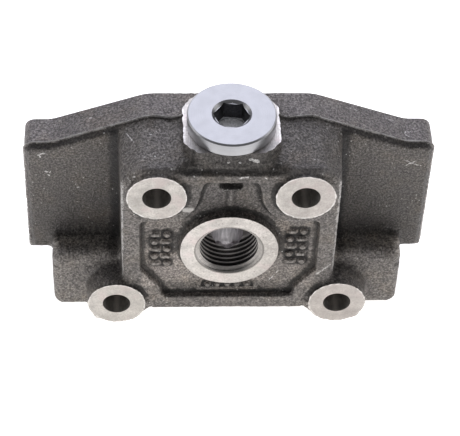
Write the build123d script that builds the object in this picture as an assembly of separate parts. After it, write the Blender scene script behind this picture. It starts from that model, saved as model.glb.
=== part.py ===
from build123d import *
import math
import os

# Outlet (end) section of a stacked hydraulic valve bank.
# An iron casting with machined faces, a screw plug in its top port, and the
# plug's seal ring.
#
# Working coordinates while the solids are built (mm):
#   X  across the section, 0 on its symmetry plane
#   Y  depth, 0 at the four tie-rod spot faces, rising towards the mating face
#   Z  height, 0 on the axis of the outlet port, +Z towards the plugged port
# Everything is shifted at the end so that the origin is the centre of the
# bounding box's bottom face.

# ---------------------------------------------------------------- dimensions
DEPTH = 31.0            # spot faces to mating face
Y_PART = 20.7           # mould parting plane
MISMATCH = 0.5          # front half of the mould set in from the rear half

# rear plate outline (XZ)
PLATE_HW = 64.8         # half width over the wings
TOP_Z = 39.7            # flat top of the rim
TOP_HW = 26.0           # half width of that flat
SHOULDER_X = 56.0       # where the slope ends
SHOULDER_Z = 28.45
WING_BOT = -19.6
WING_BLEND = 2.2        # concave corner between wing and foot
FOOT_HW = 56.8
FOOT_BOT = -35.4
FOOT_TOP = -10.6
FOOT_Y = 8.0            # front face of the feet
WING_Y = 18.8           # front face of the wings
BASE_GAP_HW = 25.0      # half width of the relief between the feet
HUB_BOT = -28.8

# hub block
HUB_Y = 1.3
HUB_HW_F = 34.0         # half width at the front
HUB_HW_R = 34.9         # and at the parting plane (draft)
HUB_TOP_F = 35.6
HUB_TOP_R = 38.7
HUB_CORNER_Z_F = 29.8
HUB_CORNER_X_F = 28.4
HUB_CORNER_Z_R = 35.2
HUB_CORNER_X_R = 26.4
NOTCH_HW = 17.0         # lower ledge in front of the plug boss
NOTCH_Z = 33.5
NOTCH_Y = 2.9

# tie rods
ROD_R = 4.5             # 9 mm clearance holes for M8 rods
UP_X, UP_Z = 23.0, 24.65
LO_X, LO_Z = 36.0, -25.35
UP_BOSS_R = 9.3
LO_BOSS_R = 9.3
LO_BOSS_R2 = 10.0       # at the root, draft

# recessed panel in the hub face
PANEL_Y = 3.5
PANEL_HW = 27.8
PANEL_TOP = 12.0
PANEL_BELL_TOP = 29.4
PANEL_SIDE_BOT = -10.4
PANEL_BOT = -23.2
PANEL_BOT_HW = 20.6
PANEL_R = 13.9          # round the upper bosses

# outlet port, G 1/2
PORT_FACE_Y = 0.3
PORT_BOSS_R = 15.5
PORT_BOSS_R2 = 16.3
THREAD_MINOR_R = 9.315  # cored minor radius of G 1/2; the thread is cut in it
THREAD_MAJOR_R = 10.4775
MOUTH_R = 11.0          # 45 degree countersink
PORT_DEPTH = 16.0       # cylindrical depth from the face
CROSS_R = 5.2           # vertical drilling that joins both ports
CROSS_Y = 15.6
CROSS_BOT = -18.5
GALLERY_R = 7.0         # opening on the mating face

# plugged top port, G 1/2
PLUG_Y = 15.85
PLUG_BOSS_R = 16.6
PLUG_BOSS_HW = 14.9
PLUG_BOSS_Y0 = 2.7
PLUG_FACE_Z = 41.0
TOP_BORE_BOT = 24.0

# screw plug with collar
HEAD_R = 13.8
HEAD_H = 4.6
SHANK_R = 9.30          # root radius of the plug's thread
SHANK_L = 13.0
HEX_AF = 10.0
HEX_DEPTH = 6.6
HEX_TURN = -6.0
SEAL_RI, SEAL_RO, SEAL_H = 11.35, 12.70, 1.9

# casting marks: plain bars and round pips
MARK_H = 1.0

SHIFT = Vector(0, -DEPTH / 2, -FOOT_BOT)


# ---------------------------------------------------------------- helpers
def xz(points):
    """Closed polygon in the XZ plane at Y = 0, from (x, z) pairs."""
    return Plane.XZ * make_face(Polyline(*[(x, z) for x, z in points], close=True))


def slab(points, y0, y1):
    """Polygon in XZ run from depth y0 to depth y1."""
    f = xz(points)
    f = Pos(0, y0, 0) * f
    return extrude(f, amount=y1 - y0, dir=(0, 1, 0))


def mirrored(points):
    """Right half outline (x >= 0, top to bottom) mirrored to a closed outline."""
    left = [(-x, z) for x, z in reversed(points) if abs(x) > 1e-6]
    return points + left


def rod_y(x, z, r, y0, y1):
    """Cylinder along Y."""
    return Pos(x, (y0 + y1) / 2, z) * Rot(90, 0, 0) * Cylinder(r, y1 - y0)


def cone_y(x, z, r0, r1, y0, y1):
    """Cone along Y, radius r0 at y0 and r1 at y1."""
    return Pos(x, (y0 + y1) / 2, z) * Rot(-90, 0, 0) * Cone(r0, r1, y1 - y0)


def edges_where(shape, test):
    return ShapeList([e for e in shape.edges() if test(e)])


def try_fillet(shape, edges, radii):
    """Fillet with the first radius of the list that works."""
    if not edges:
        return shape
    for r in radii:
        try:
            out = fillet(edges, r)
            if out.is_valid and out.volume > 0:
                return out
        except Exception:
            pass
    return shape


def along_y(e, tol=0.02):
    a, b = e.position_at(0), e.position_at(1)
    d = b - a
    return e.geom_type == GeomType.LINE and abs(d.Y) > (1 - tol) * d.length


def in_plane_y(e, y, tol=1e-3):
    return all(abs(e.position_at(t).Y - y) < tol for t in (0, 0.25, 0.5, 0.75, 1))


# ---------------------------------------------------------------- rear plate
plate_half = [
    (0, TOP_Z), (TOP_HW, TOP_Z), (SHOULDER_X, SHOULDER_Z), (PLATE_HW, SHOULDER_Z),
    (PLATE_HW, WING_BOT), (FOOT_HW, WING_BOT),
    (FOOT_HW, FOOT_BOT), (BASE_GAP_HW + 2.0, FOOT_BOT), (BASE_GAP_HW - 1.6, HUB_BOT),
    (0, HUB_BOT),
]
plate = slab(mirrored(plate_half), Y_PART, DEPTH)


def corner(x, z):
    return lambda e: along_y(e) and abs(abs(e.position_at(0.5).X) - x) < 0.05 and abs(e.position_at(0.5).Z - z) < 0.05


for cx, cz, rr in (
    (PLATE_HW, SHOULDER_Z, (3.4,)), (TOP_HW, TOP_Z, (14.0,)), (SHOULDER_X, SHOULDER_Z, (10.0,)),
    (PLATE_HW, WING_BOT, (0.7,)), (FOOT_HW, WING_BOT, (WING_BLEND,)),
    (FOOT_HW, FOOT_BOT, (3.8,)), (BASE_GAP_HW + 2.0, FOOT_BOT, (2.0,)), (BASE_GAP_HW - 1.6, HUB_BOT, (2.5,)),
):
    plate = try_fillet(plate, edges_where(plate, corner(cx, cz)), rr)

# front skin of the wings: the front half of the mould, set in a little
m = MISMATCH
skin_half = [
    (0, TOP_Z - m), (TOP_HW - 0.2, TOP_Z - m), (SHOULDER_X - 0.1, SHOULDER_Z - m), (PLATE_HW - m, SHOULDER_Z - m),
    (PLATE_HW - m, WING_BOT + m), (FOOT_HW, WING_BOT + m), (FOOT_HW, WING_BOT - 3.5),
    (0, WING_BOT - 3.5),
]
skin = slab(mirrored(skin_half), WING_Y, Y_PART)
for cx, cz, rr in (
    (PLATE_HW - m, SHOULDER_Z - m, (3.0,)), (TOP_HW - 0.2, TOP_Z - m, (14.0,)),
    (SHOULDER_X - 0.1, SHOULDER_Z - m, (10.0,)), (PLATE_HW - m, WING_BOT + m, (0.6,)),
    (FOOT_HW, WING_BOT + m, (WING_BLEND,)),
):
    skin = try_fillet(skin, edges_where(skin, corner(cx, cz)), rr)
skin = try_fillet(
    skin,
    edges_where(skin, lambda e: in_plane_y(e, WING_Y) and (e.position_at(0.5).Z > SHOULDER_Z - 1.2 - m
                or abs(e.position_at(0.5).X) > PLATE_HW - 2.6 - m)),
    (1.8, 1.5, 1.2, 0.9),
)

# ---------------------------------------------------------------- hub block
front = Plane(origin=(0, HUB_Y, 0), x_dir=(1, 0, 0), z_dir=(0, 1, 0))
rear = Plane(origin=(0, Y_PART, 0), x_dir=(1, 0, 0), z_dir=(0, 1, 0))
# on these planes local y runs along -Z


def hub_face(plane, hw, top, cz, cxx):
    pts = [(-hw, HUB_BOT), (hw, HUB_BOT), (hw, cz), (cxx, top), (-cxx, top), (-hw, cz)]
    return plane * make_face(Polyline(*[(x, -z) for x, z in pts], close=True))


hub = loft(
    [hub_face(front, HUB_HW_F, HUB_TOP_F, HUB_CORNER_Z_F, HUB_CORNER_X_F),
     hub_face(rear, HUB_HW_R, HUB_TOP_R, HUB_CORNER_Z_R, HUB_CORNER_X_R)],
    ruled=True,
)
hub = try_fillet(
    hub,
    edges_where(hub, lambda e: abs(e.position_at(0).Y - e.position_at(1).Y) > 10 and e.position_at(0.5).Z > 25),
    (4.0, 3.0, 2.0),
)
# lower ledge in front of the plug boss
notch = Pos(0, (HUB_Y - 1 + NOTCH_Y) / 2, NOTCH_Z + 5) * Box(2 * NOTCH_HW, NOTCH_Y - HUB_Y + 1, 10)
notch = fillet(notch.edges().filter_by(Axis.Y).group_by(Axis.Z)[0], 4.0)
hub = hub - notch

# ---------------------------------------------------------------- feet
foot_half = [
    (20, FOOT_TOP - 9), (30, FOOT_TOP), (FOOT_HW, FOOT_TOP), (FOOT_HW, FOOT_BOT),
    (BASE_GAP_HW + 2.0, FOOT_BOT), (BASE_GAP_HW - 1.6, HUB_BOT), (20, HUB_BOT),
]
foot_r = slab(foot_half, FOOT_Y, Y_PART + 2)
foot_r = try_fillet(foot_r, edges_where(foot_r, corner(FOOT_HW, FOOT_BOT)), (3.8,))
foot_r = try_fillet(foot_r, edges_where(foot_r, corner(FOOT_HW, FOOT_TOP)), (2.0,))
foot_r = try_fillet(foot_r, edges_where(foot_r, corner(BASE_GAP_HW + 2.0, FOOT_BOT)), (2.0,))
foot_r = try_fillet(
    foot_r,
    edges_where(foot_r, lambda e: in_plane_y(e, FOOT_Y) and (e.position_at(0.5).X > FOOT_HW - 4.5
                or (e.position_at(0.5).Z > FOOT_TOP - 2.5 and e.position_at(0.5).X > 31)
                or e.position_at(0.5).Z < FOOT_BOT + 0.1)),
    (1.8, 1.6, 1.2, 0.8),
)
foot_l = mirror(foot_r, Plane.YZ)

# lower tie-rod lugs, run back into the feet
lug_r = cone_y(LO_X, LO_Z, LO_BOSS_R, LO_BOSS_R2, 0, FOOT_Y + 4)
# blunt outer corner below the rod
lug_r = lug_r + slab([(LO_X + dx, LO_Z + dz) for dx, dz in (
    (9.25, -0.8), (8.5, -3.6), (7.35, -6.5), (6.3, -7.5), (3.5, -8.55), (0, -8.9), (0, 0))], 0, FOOT_Y + 2)
# web that ties the lug to the hub's lower corner
web = slab([(LO_X + dx, LO_Z + dz) for dx, dz in (
    (-2.5, -8.9), (-5.6, -8.4), (-7.2, -7.5), (-8.2, -6.0), (-9.1, -4.4), (-10.4, -3.3), (-10.4, 0), (-2.5, 0))],
    0.5, FOOT_Y + 4)
lug_r = lug_r + web
lug_l = mirror(lug_r, Plane.YZ)

# ---------------------------------------------------------------- plug boss
boss2d = Plane.XY * (Pos(0, PLUG_Y) * Circle(PLUG_BOSS_R)) & (
    Pos(0, (PLUG_BOSS_Y0 + DEPTH) / 2) * Rectangle(2 * PLUG_BOSS_HW, DEPTH - PLUG_BOSS_Y0))
plug_boss = Pos(0, 0, 28.0) * extrude(boss2d, amount=PLUG_FACE_Z - 28.0)
plug_boss = try_fillet(plug_boss, plug_boss.edges().filter_by(Axis.Z).group_by(Axis.Y)[0], (2.0, 1.0))

body = plate + skin + hub + foot_r + foot_l + lug_r + lug_l + plug_boss

# concave blends where the blocks meet
body = try_fillet(
    body,
    edges_where(body, lambda e: in_plane_y(e, WING_Y) and abs(abs(e.position_at(0.5).X) - 34.84) < 0.4
                and e.position_at(0.5).Z > FOOT_TOP - 1),
    (3.0, 2.0, 1.2),
)
body = try_fillet(
    body,
    edges_where(body, lambda e: in_plane_y(e, WING_Y) and abs(e.position_at(0.5).Z - FOOT_TOP) < 0.3
                and abs(e.position_at(0.5).X) > 38),
    (4.5, 3.5, 2.5, 1.5),
)

body = try_fillet(
    body,
    edges_where(body, lambda e: in_plane_y(e, FOOT_Y) and e.geom_type in (GeomType.CIRCLE, GeomType.BSPLINE, GeomType.ELLIPSE)
                and abs(abs(e.position_at(0.5).X) - LO_X) < LO_BOSS_R2 + 1 and abs(e.position_at(0.5).Z - LO_Z) < LO_BOSS_R2 + 1),
    (2.5, 1.8, 1.2, 0.8),
)

# ---------------------------------------------------------------- hub face
# recessed panel with the bosses standing in it
bell = xz(mirrored([(0, PANEL_BELL_TOP), (7.9, PANEL_BELL_TOP), (9.1, UP_Z), (19.0, UP_Z), (19.0, PANEL_TOP - 1), (0, PANEL_TOP - 1)]))
for s in (-1, 1):
    bell = bell - (Plane.XZ * (Pos(s * UP_X, UP_Z) * Circle(PANEL_R)))
low = xz(mirrored([(0, PANEL_TOP), (PANEL_HW, PANEL_TOP), (PANEL_HW, PANEL_SIDE_BOT), (21.6, -18.9),
                   (PANEL_BOT_HW, PANEL_BOT), (0, PANEL_BOT)]))
panel2d = (bell + low).clean()
panel_faces = panel2d.faces()
panel = Pos(0, PANEL_Y, 0) * panel2d
cut = extrude(panel, amount=PANEL_Y, dir=(0, -1, 0), taper=-14)
corner_edges = edges_where(cut, lambda e: abs(e.position_at(0).Y - e.position_at(1).Y) > 2.5)
cut = try_fillet(cut, corner_edges, (1.8, 1.2, 0.8))
cut = try_fillet(cut, edges_where(cut, lambda e: in_plane_y(e, PANEL_Y)), (0.9, 0.6, 0.4))
body = body - cut

port_boss = cone_y(0, 0, PORT_BOSS_R, PORT_BOSS_R2, PORT_FACE_Y, PANEL_Y + 1)
body = body + port_boss
body = try_fillet(
    body,
    edges_where(body, lambda e: in_plane_y(e, PANEL_Y) and e.geom_type == GeomType.CIRCLE
                and abs(e.radius - PORT_BOSS_R2) < 0.4),
    (1.2, 0.8, 0.5),
)
for s in (-1, 1):
    body = body + cone_y(s * UP_X, UP_Z, UP_BOSS_R, UP_BOSS_R + 0.35, 0, HUB_Y + 2)
body = try_fillet(
    body,
    edges_where(body, lambda e: in_plane_y(e, HUB_Y) and e.geom_type == GeomType.CIRCLE
                and abs(abs(e.arc_center.X) - UP_X) < 0.1),
    (0.8, 0.5),
)

# casting marks on the panel floor: plain bars and round pips
marks = []


def bar(x, z, w, h, y=PANEL_Y, t=MARK_H):
    marks.append(Pos(x, y - t / 2 + 0.1, z) * Box(w, t + 0.2, h))


def pip(x, z, r=1.0, y=PANEL_Y, t=MARK_H):
    marks.append(cone_y(x, z, r * 0.75, r, y - t, y + 0.1))


# wedge under the bell's top edge, its face slanting up
wedge = extrude(Plane.YZ * make_face(Polyline((PANEL_Y + 0.2, 28.3), (1.6, 26.6), (1.7, 26.2), (PANEL_Y + 0.2, 25.9), close=True)),
                amount=3.4, both=True)
marks.append(wedge)
bar(0, 21.6, 0.9, 6.8, t=0.7)
for i, dz in enumerate((4.7, 1.3, -2.1, -5.5, -8.9)):
    if i % 2 == 0:
        bar(-23.3, dz, 2.6, 1.5)
        pip(-19.7, dz, 1.1)
    else:
        pip(-23.7, dz, 1.1)
        bar(-20.1, dz, 2.6, 1.5)
for i, dz in enumerate((5.9, 2.4, -1.1, -4.6, -8.1)):
    if i % 2 == 0:
        pip(23.6, dz, 1.1)
        bar(20.0, dz, 2.6, 1.5)
    else:
        bar(23.0, dz, 2.6, 1.5)
        pip(19.4, dz, 1.1)
bar(-9.3, -19.9, 0.7, 3.8, t=0.65)
bar(9.3, -19.9, 0.7, 3.8, t=0.65)
bar(0, -21.5, 19.3, 0.7, t=0.65)
for px in (-6.4, -3.2, 0.0, 3.2, 6.4):
    pip(px, -19.5, 0.95, t=0.85)
for mk in marks:
    body = body + mk

# edge round of the hub front and of the lug roots, where they take it
body = try_fillet(
    body,
    edges_where(body, lambda e: in_plane_y(e, HUB_Y) and e.geom_type == GeomType.LINE
                and abs(abs(e.position_at(0.5).X) - HUB_HW_F) < 0.2),
    (2.0, 1.6, 1.2, 0.8),
)

# ---------------------------------------------------------------- machining
for sx, hz, hx in ((-1, UP_Z, UP_X), (1, UP_Z, UP_X), (-1, LO_Z, LO_X), (1, LO_Z, LO_X)):
    body = body - rod_y(sx * hx, hz, ROD_R, -2, DEPTH + 2)

# outlet port: countersink, thread core, drill point
body = body - cone_y(0, 0, MOUTH_R + 0.4, THREAD_MINOR_R, PORT_FACE_Y - 0.4, PORT_FACE_Y + MOUTH_R - THREAD_MINOR_R)
body = body - rod_y(0, 0, THREAD_MINOR_R, PORT_FACE_Y - 1, PORT_FACE_Y + PORT_DEPTH)
body = body - cone_y(0, 0, THREAD_MINOR_R, 5.5, PORT_FACE_Y + PORT_DEPTH, PORT_FACE_Y + PORT_DEPTH + 2.2)

# top port: countersink, thread core, and the drilling that joins the two
body = body - Pos(0, PLUG_Y, TOP_BORE_BOT + 10) * Cylinder(THREAD_MINOR_R, 20)
body = body - Pos(0, PLUG_Y, (TOP_BORE_BOT + PLUG_FACE_Z + 1) / 2) * Cylinder(THREAD_MINOR_R, PLUG_FACE_Z + 1 - TOP_BORE_BOT)
cs = MOUTH_R - THREAD_MINOR_R
body = body - Pos(0, PLUG_Y, PLUG_FACE_Z - cs / 2) * Cone(THREAD_MINOR_R, MOUTH_R, cs)
body = body - Pos(0, CROSS_Y, (CROSS_BOT + TOP_BORE_BOT + 1) / 2) * Cylinder(CROSS_R, TOP_BORE_BOT + 1 - CROSS_BOT)
body = body - Pos(0, CROSS_Y, CROSS_BOT - 1.4) * Cone(0.6, CROSS_R, 2.8)

# gallery to the mating face
body = body - rod_y(0, 0, GALLERY_R, 14, DEPTH + 1)
body = body - cone_y(0, 0, GALLERY_R - 0.0, GALLERY_R + 0.8, DEPTH - 0.5, DEPTH + 0.3)

body = Solid(body.solids().sort_by(SortBy.VOLUME)[-1].wrapped)

# ---------------------------------------------------------------- screw plug
head = Pos(0, PLUG_Y, PLUG_FACE_Z + HEAD_H / 2) * Cylinder(HEAD_R, HEAD_H)
head = chamfer(head.edges().group_by(Axis.Z)[-1], 0.45)
head = chamfer(head.edges().group_by(Axis.Z)[0], 0.25)
shank = Pos(0, PLUG_Y, PLUG_FACE_Z - SHANK_L / 2) * Cylinder(SHANK_R, SHANK_L)
shank = chamfer(shank.edges().group_by(Axis.Z)[0], 1.2)
plug = head + shank
groove = Pos(0, PLUG_Y, PLUG_FACE_Z + SEAL_H / 2) * (Cylinder(SEAL_RO, SEAL_H) - Cylinder(SEAL_RI, SEAL_H))
plug = plug - groove
hex2d = Pos(0, PLUG_Y) * Rot(0, 0, HEX_TURN) * RegularPolygon(HEX_AF / 2 / math.cos(math.pi / 6), 6)
plug = plug - Pos(0, 0, PLUG_FACE_Z + HEAD_H - HEX_DEPTH) * extrude(Plane.XY * hex2d, amount=HEX_DEPTH + 1)
plug = plug - Pos(0, PLUG_Y, PLUG_FACE_Z + HEAD_H - 0.35) * Cone(HEX_AF / 2 + 0.5, 6.2, 0.7)
plug = plug - Pos(0, PLUG_Y, PLUG_FACE_Z + HEAD_H - HEX_DEPTH - 0.7) * Cone(0.5, HEX_AF / 2 - 0.1, 1.4)

# seal ring in the groove under the collar
seal = Pos(0, PLUG_Y, PLUG_FACE_Z + SEAL_H / 2) * (Cylinder(SEAL_RO, SEAL_H) - Cylinder(SEAL_RI, SEAL_H))

# ---------------------------------------------------------------- output
os.makedirs("parts", exist_ok=True)
for name, shape in (("outlet_body", body), ("port_plug", plug), ("plug_seal", seal)):
    shape = Pos(SHIFT) * shape
    shape.label = name
    bb = shape.bounding_box()
    print(name, "solids", len(shape.solids()), "volume", round(shape.volume, 1), "valid", shape.is_valid,
          "box", [round(v, 2) for v in (bb.min.X, bb.min.Y, bb.min.Z, bb.max.X, bb.max.Y, bb.max.Z)])
    export_step(shape, "parts/%s.step" % name)
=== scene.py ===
import math

import bmesh
import bpy
import numpy as np
from mathutils import Matrix, Vector
from mathutils.kdtree import KDTree


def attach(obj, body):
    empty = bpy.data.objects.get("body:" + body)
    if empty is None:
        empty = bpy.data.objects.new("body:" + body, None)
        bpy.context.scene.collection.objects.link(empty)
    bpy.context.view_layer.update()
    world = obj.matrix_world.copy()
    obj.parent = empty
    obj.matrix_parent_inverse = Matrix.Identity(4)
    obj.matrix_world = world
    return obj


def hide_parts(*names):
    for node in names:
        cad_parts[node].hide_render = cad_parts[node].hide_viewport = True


# Outlet section of a stacked hydraulic valve: one iron casting with machined
# faces and tapped ports, a plated screw plug and its seal ring.
# The casting is shaped in millimetres in a working frame: X across, Y depth
# from the tie-rod spot faces (0) to the mating face (31), Z from the axis of
# the outlet port. It goes to the row frame, in metres, at the end.

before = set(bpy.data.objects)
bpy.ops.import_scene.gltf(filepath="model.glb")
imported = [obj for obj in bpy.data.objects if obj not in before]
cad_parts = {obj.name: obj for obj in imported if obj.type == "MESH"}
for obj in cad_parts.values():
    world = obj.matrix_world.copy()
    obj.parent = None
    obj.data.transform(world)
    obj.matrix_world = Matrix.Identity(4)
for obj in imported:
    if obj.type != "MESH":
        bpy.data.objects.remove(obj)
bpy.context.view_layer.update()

Y0, Z0 = 15.5, 35.4
VOXEL = 0.46
TARGET_TRIS = 168000
PART_Y = 20.7
PITCH = 1.814
R_MINOR, R_MAJOR = 9.315, 10.4775
PLUG_Y, PLUG_Z = 15.85, 41.0
RODS = ((-23.0, 24.65), (23.0, 24.65), (-36.0, -25.35), (36.0, -25.35))
ROD_R = 4.5
# right half of the rear plate's outline (x, z, corner radius), from the plug boss down
OUTLINE = ((15.3, 39.7, 0), (26.0, 39.7, 14.0), (56.0, 28.45, 10.0), (64.5, 28.45, 3.2), (64.5, -19.6, 0.9),
           (56.8, -19.6, 2.2), (56.8, -33.2, 0))


# ------------------------------------------------------------------ noise
def _hash(ix, iy, iz, seed):
    h = (ix * 374761393 + iy * 668265263 + iz * 2147483647 + seed * 1274126177) & 0xFFFFFFFF
    h = ((h ^ (h >> 13)) * 1274126177) & 0xFFFFFFFF
    h = ((h ^ (h >> 16)) * 2246822519) & 0xFFFFFFFF
    return h ^ (h >> 15)


def noise(p, scale, seed=0):
    """Gradient noise of about -1..1 at points p (mm), features of `scale` mm."""
    q = np.asarray(p, float) / scale
    i = np.floor(q).astype(np.int64)
    f = q - i
    u = f * f * f * (f * (f * 6 - 15) + 10)
    out = np.zeros(len(q))
    for dx in (0, 1):
        for dy in (0, 1):
            for dz in (0, 1):
                h = _hash(i[:, 0] + dx, i[:, 1] + dy, i[:, 2] + dz, seed)
                gx = (h & 0x3FF) / 511.5 - 1
                gy = ((h >> 10) & 0x3FF) / 511.5 - 1
                gz = ((h >> 20) & 0x3FF) / 511.5 - 1
                w = (u[:, 0] if dx else 1 - u[:, 0]) * (u[:, 1] if dy else 1 - u[:, 1]) * (u[:, 2] if dz else 1 - u[:, 2])
                out += w * (gx * (f[:, 0] - dx) + gy * (f[:, 1] - dy) + gz * (f[:, 2] - dz))
    return out * 1.5


def step(a, b, x):
    t = np.clip((x - a) / (b - a), 0, 1)
    return t * t * (3 - 2 * t)


# ------------------------------------------------------------------ meshes
def new_object(name, verts, faces):
    me = bpy.data.meshes.new(name)
    me.from_pydata([tuple(v) for v in verts], [], [tuple(f) for f in faces])
    me.update()
    ob = bpy.data.objects.new(name, me)
    bpy.context.scene.collection.objects.link(ob)
    return ob


def coords(me):
    a = np.empty(len(me.vertices) * 3)
    me.vertices.foreach_get("co", a)
    return a.reshape(-1, 3)


def set_coords(me, a):
    me.vertices.foreach_set("co", np.ascontiguousarray(a, dtype=np.float32).ravel())
    me.update()


def normals(me):
    a = np.empty(len(me.vertices) * 3)
    me.vertex_normals.foreach_get("vector", a)
    return a.reshape(-1, 3)


def edge_pairs(me):
    a = np.empty(len(me.edges) * 2, dtype=np.int64)
    me.edges.foreach_get("vertices", a)
    return a.reshape(-1, 2)


def neighbour_mean(values, e, n):
    """Mean of each vertex's neighbours, for values of shape (n,) or (n, 3)."""
    deg = np.bincount(e[:, 0], minlength=n) + np.bincount(e[:, 1], minlength=n)
    deg = np.maximum(deg, 1)
    v = values.reshape(n, -1)
    out = np.empty_like(v)
    for c in range(v.shape[1]):
        out[:, c] = (np.bincount(e[:, 0], weights=v[e[:, 1], c], minlength=n)
                     + np.bincount(e[:, 1], weights=v[e[:, 0], c], minlength=n)) / deg
    return out.reshape(values.shape)


def revolve(profile, n, to_xyz, name, closed_ends=True):
    """Solid of revolution from (r, t) points; a point with r = 0 is a pole."""
    verts, rings = [], []
    for r, t in profile:
        if r == 0:
            rings.append([len(verts)])
            verts.append(to_xyz(0, 0, t))
        else:
            rings.append(list(range(len(verts), len(verts) + n)))
            for i in range(n):
                a = 2 * math.pi * i / n
                verts.append(to_xyz(r * math.cos(a), r * math.sin(a), t))
    faces = []
    for p, q in zip(rings, rings[1:]):
        for i in range(n):
            j = (i + 1) % n
            if len(p) == 1 and len(q) == 1:
                continue
            if len(p) == 1:
                faces.append((p[0], q[i], q[j]))
            elif len(q) == 1:
                faces.append((p[i], q[0], p[j]))
            else:
                faces.append((p[i], q[i], q[j], p[j]))
    return fixed(new_object(name, verts, faces))


def fixed(ob):
    """Outward normals."""
    bm = bmesh.new()
    bm.from_mesh(ob.data)
    bmesh.ops.recalc_face_normals(bm, faces=bm.faces)
    if bm.calc_volume(signed=True) < 0:
        bmesh.ops.reverse_faces(bm, faces=bm.faces)
    bm.to_mesh(ob.data)
    bm.free()
    ob.data.update()
    return ob


def along_y(x, z):
    return lambda a, b, t: (x + a, t, z + b)


def along_z(x, y):
    return lambda a, b, t: (x + a, y + b, t)


def rod(name, frm, r, t0, t1, n=96):
    return revolve([(0, t0), (r, t0), (r, t1), (0, t1)], n, frm, name)


def box(name, lo, hi):
    x0, y0, z0 = lo
    x1, y1, z1 = hi
    v = [(x0, y0, z0), (x1, y0, z0), (x1, y1, z0), (x0, y1, z0), (x0, y0, z1), (x1, y0, z1), (x1, y1, z1), (x0, y1, z1)]
    f = [(0, 3, 2, 1), (4, 5, 6, 7), (0, 1, 5, 4), (1, 2, 6, 5), (2, 3, 7, 6), (3, 0, 4, 7)]
    return new_object(name, v, f)


def helix(name, frm, t0, t1, r_crest, r_root, lead_in, fade, n=84):
    """Closed screw surface of pitch PITCH from t0 to t1.

    r_crest is the radius between the grooves' flanks, r_root the radius at the
    thread's tip; the profile fades to lead_in over `fade` mm at both ends that
    ask for it."""
    prof = [(0.0, 0.0), (0.10, 0.02), (0.155, 0.12), (0.46, 0.90), (0.515, 0.99), (0.585, 1.0), (0.64, 0.90), (0.945, 0.12)]
    m = len(prof)
    turns = int(math.ceil((t1 - t0) / PITCH))
    ks = [(j, k) for j in range(turns) for k in range(m)]
    K = len(ks)
    verts = np.empty((n, K, 3))
    for i in range(n):
        a = 2 * math.pi * i / n
        for q, (j, k) in enumerate(ks):
            t = t0 + (j + prof[k][0] + i / n) * PITCH
            r = r_crest + (r_root - r_crest) * prof[k][1]
            for end, size in ((t0, fade[0]), (t1, fade[1])):
                if size:
                    w = min(1.0, max(0.0, (abs(t - end)) / size))
                    if (end == t1 and t > t1) or (end == t0 and t < t0):
                        w = 0.0
                    r = lead_in + (r - lead_in) * w
            verts[i, q] = frm(r * math.cos(a), r * math.sin(a), t)
    idx = lambda i, k: i * K + k
    faces = []
    for i in range(n - 1):
        for k in range(K - 1):
            faces.append((idx(i, k), idx(i + 1, k), idx(i + 1, k + 1), idx(i, k + 1)))
    for k in range(K - 1 - m):
        faces.append((idx(n - 1, k), idx(0, k + m), idx(0, k + m + 1), idx(n - 1, k + 1)))
    v = [tuple(p) for p in verts.reshape(-1, 3)]
    c0 = len(v)
    v.append(tuple(frm(0, 0, t0)))
    v.append(tuple(frm(0, 0, t0 + turns * PITCH)))
    loop = [idx(i, 0) for i in range(n)] + [idx(0, k) for k in range(m, 0, -1)]
    for p, q in zip(loop, loop[1:] + loop[:1]):
        faces.append((c0, q, p))
    loop = [idx(i, K - 1) for i in range(n)] + [idx(n - 1, k) for k in range(K - 2, K - 2 - m, -1)]
    for p, q in zip(loop, loop[1:] + loop[:1]):
        faces.append((c0 + 1, p, q))
    return fixed(new_object(name, v, faces))


def apply_mods(ob):
    dg = bpy.context.evaluated_depsgraph_get()
    me = bpy.data.meshes.new_from_object(ob.evaluated_get(dg), preserve_all_data_layers=True, depsgraph=dg)
    ob.modifiers.clear()
    old = ob.data
    ob.data = me
    bpy.data.meshes.remove(old)
    return ob


def boolean(ob, cutter, op="DIFFERENCE", solver="MANIFOLD"):
    before = len(ob.data.polygons)
    m = ob.modifiers.new("b", "BOOLEAN")
    m.operation = op
    m.solver = solver
    m.object = cutter
    apply_mods(ob)
    if len(ob.data.polygons) == 0 or (solver == "MANIFOLD" and len(ob.data.polygons) == before and op == "DIFFERENCE"):
        raise RuntimeError("boolean with %s had no effect" % cutter.name)
    bpy.data.objects.remove(cutter)
    return ob


def remove(*obs):
    for o in obs:
        bpy.data.objects.remove(o)


# ------------------------------------------------------------------ casting
# raised marks of the panel: bars (x, z, width, height, rise) and pips (x, z, radius, rise)
BARS = ([(-23.3, z, 2.6, 1.5, 1.0) for z in (4.7, -2.1, -8.9)] + [(-20.1, z, 2.6, 1.5, 1.0) for z in (1.3, -5.5)]
        + [(20.0, z, 2.6, 1.5, 1.0) for z in (5.9, -1.1, -8.1)] + [(23.0, z, 2.6, 1.5, 1.0) for z in (2.4, -4.6)]
        + [(0.0, 21.6, 0.8, 6.8, 0.75), (-9.3, -19.9, 0.7, 3.8, 0.65), (9.3, -19.9, 0.7, 3.8, 0.65), (0.0, -21.6, 19.3, 0.7, 0.65)])
PIPS = ([(-19.7, z, 1.15, 1.0) for z in (4.7, -2.1, -8.9)] + [(-23.7, z, 1.15, 1.0) for z in (1.3, -5.5)]
        + [(23.6, z, 1.15, 1.0) for z in (5.9, -1.1, -8.1)] + [(19.4, z, 1.15, 1.0) for z in (2.4, -4.6)]
        + [(x, -19.5, 0.95, 0.85) for x in (-6.4, -3.2, 0.0, 3.2, 6.4)])


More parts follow.
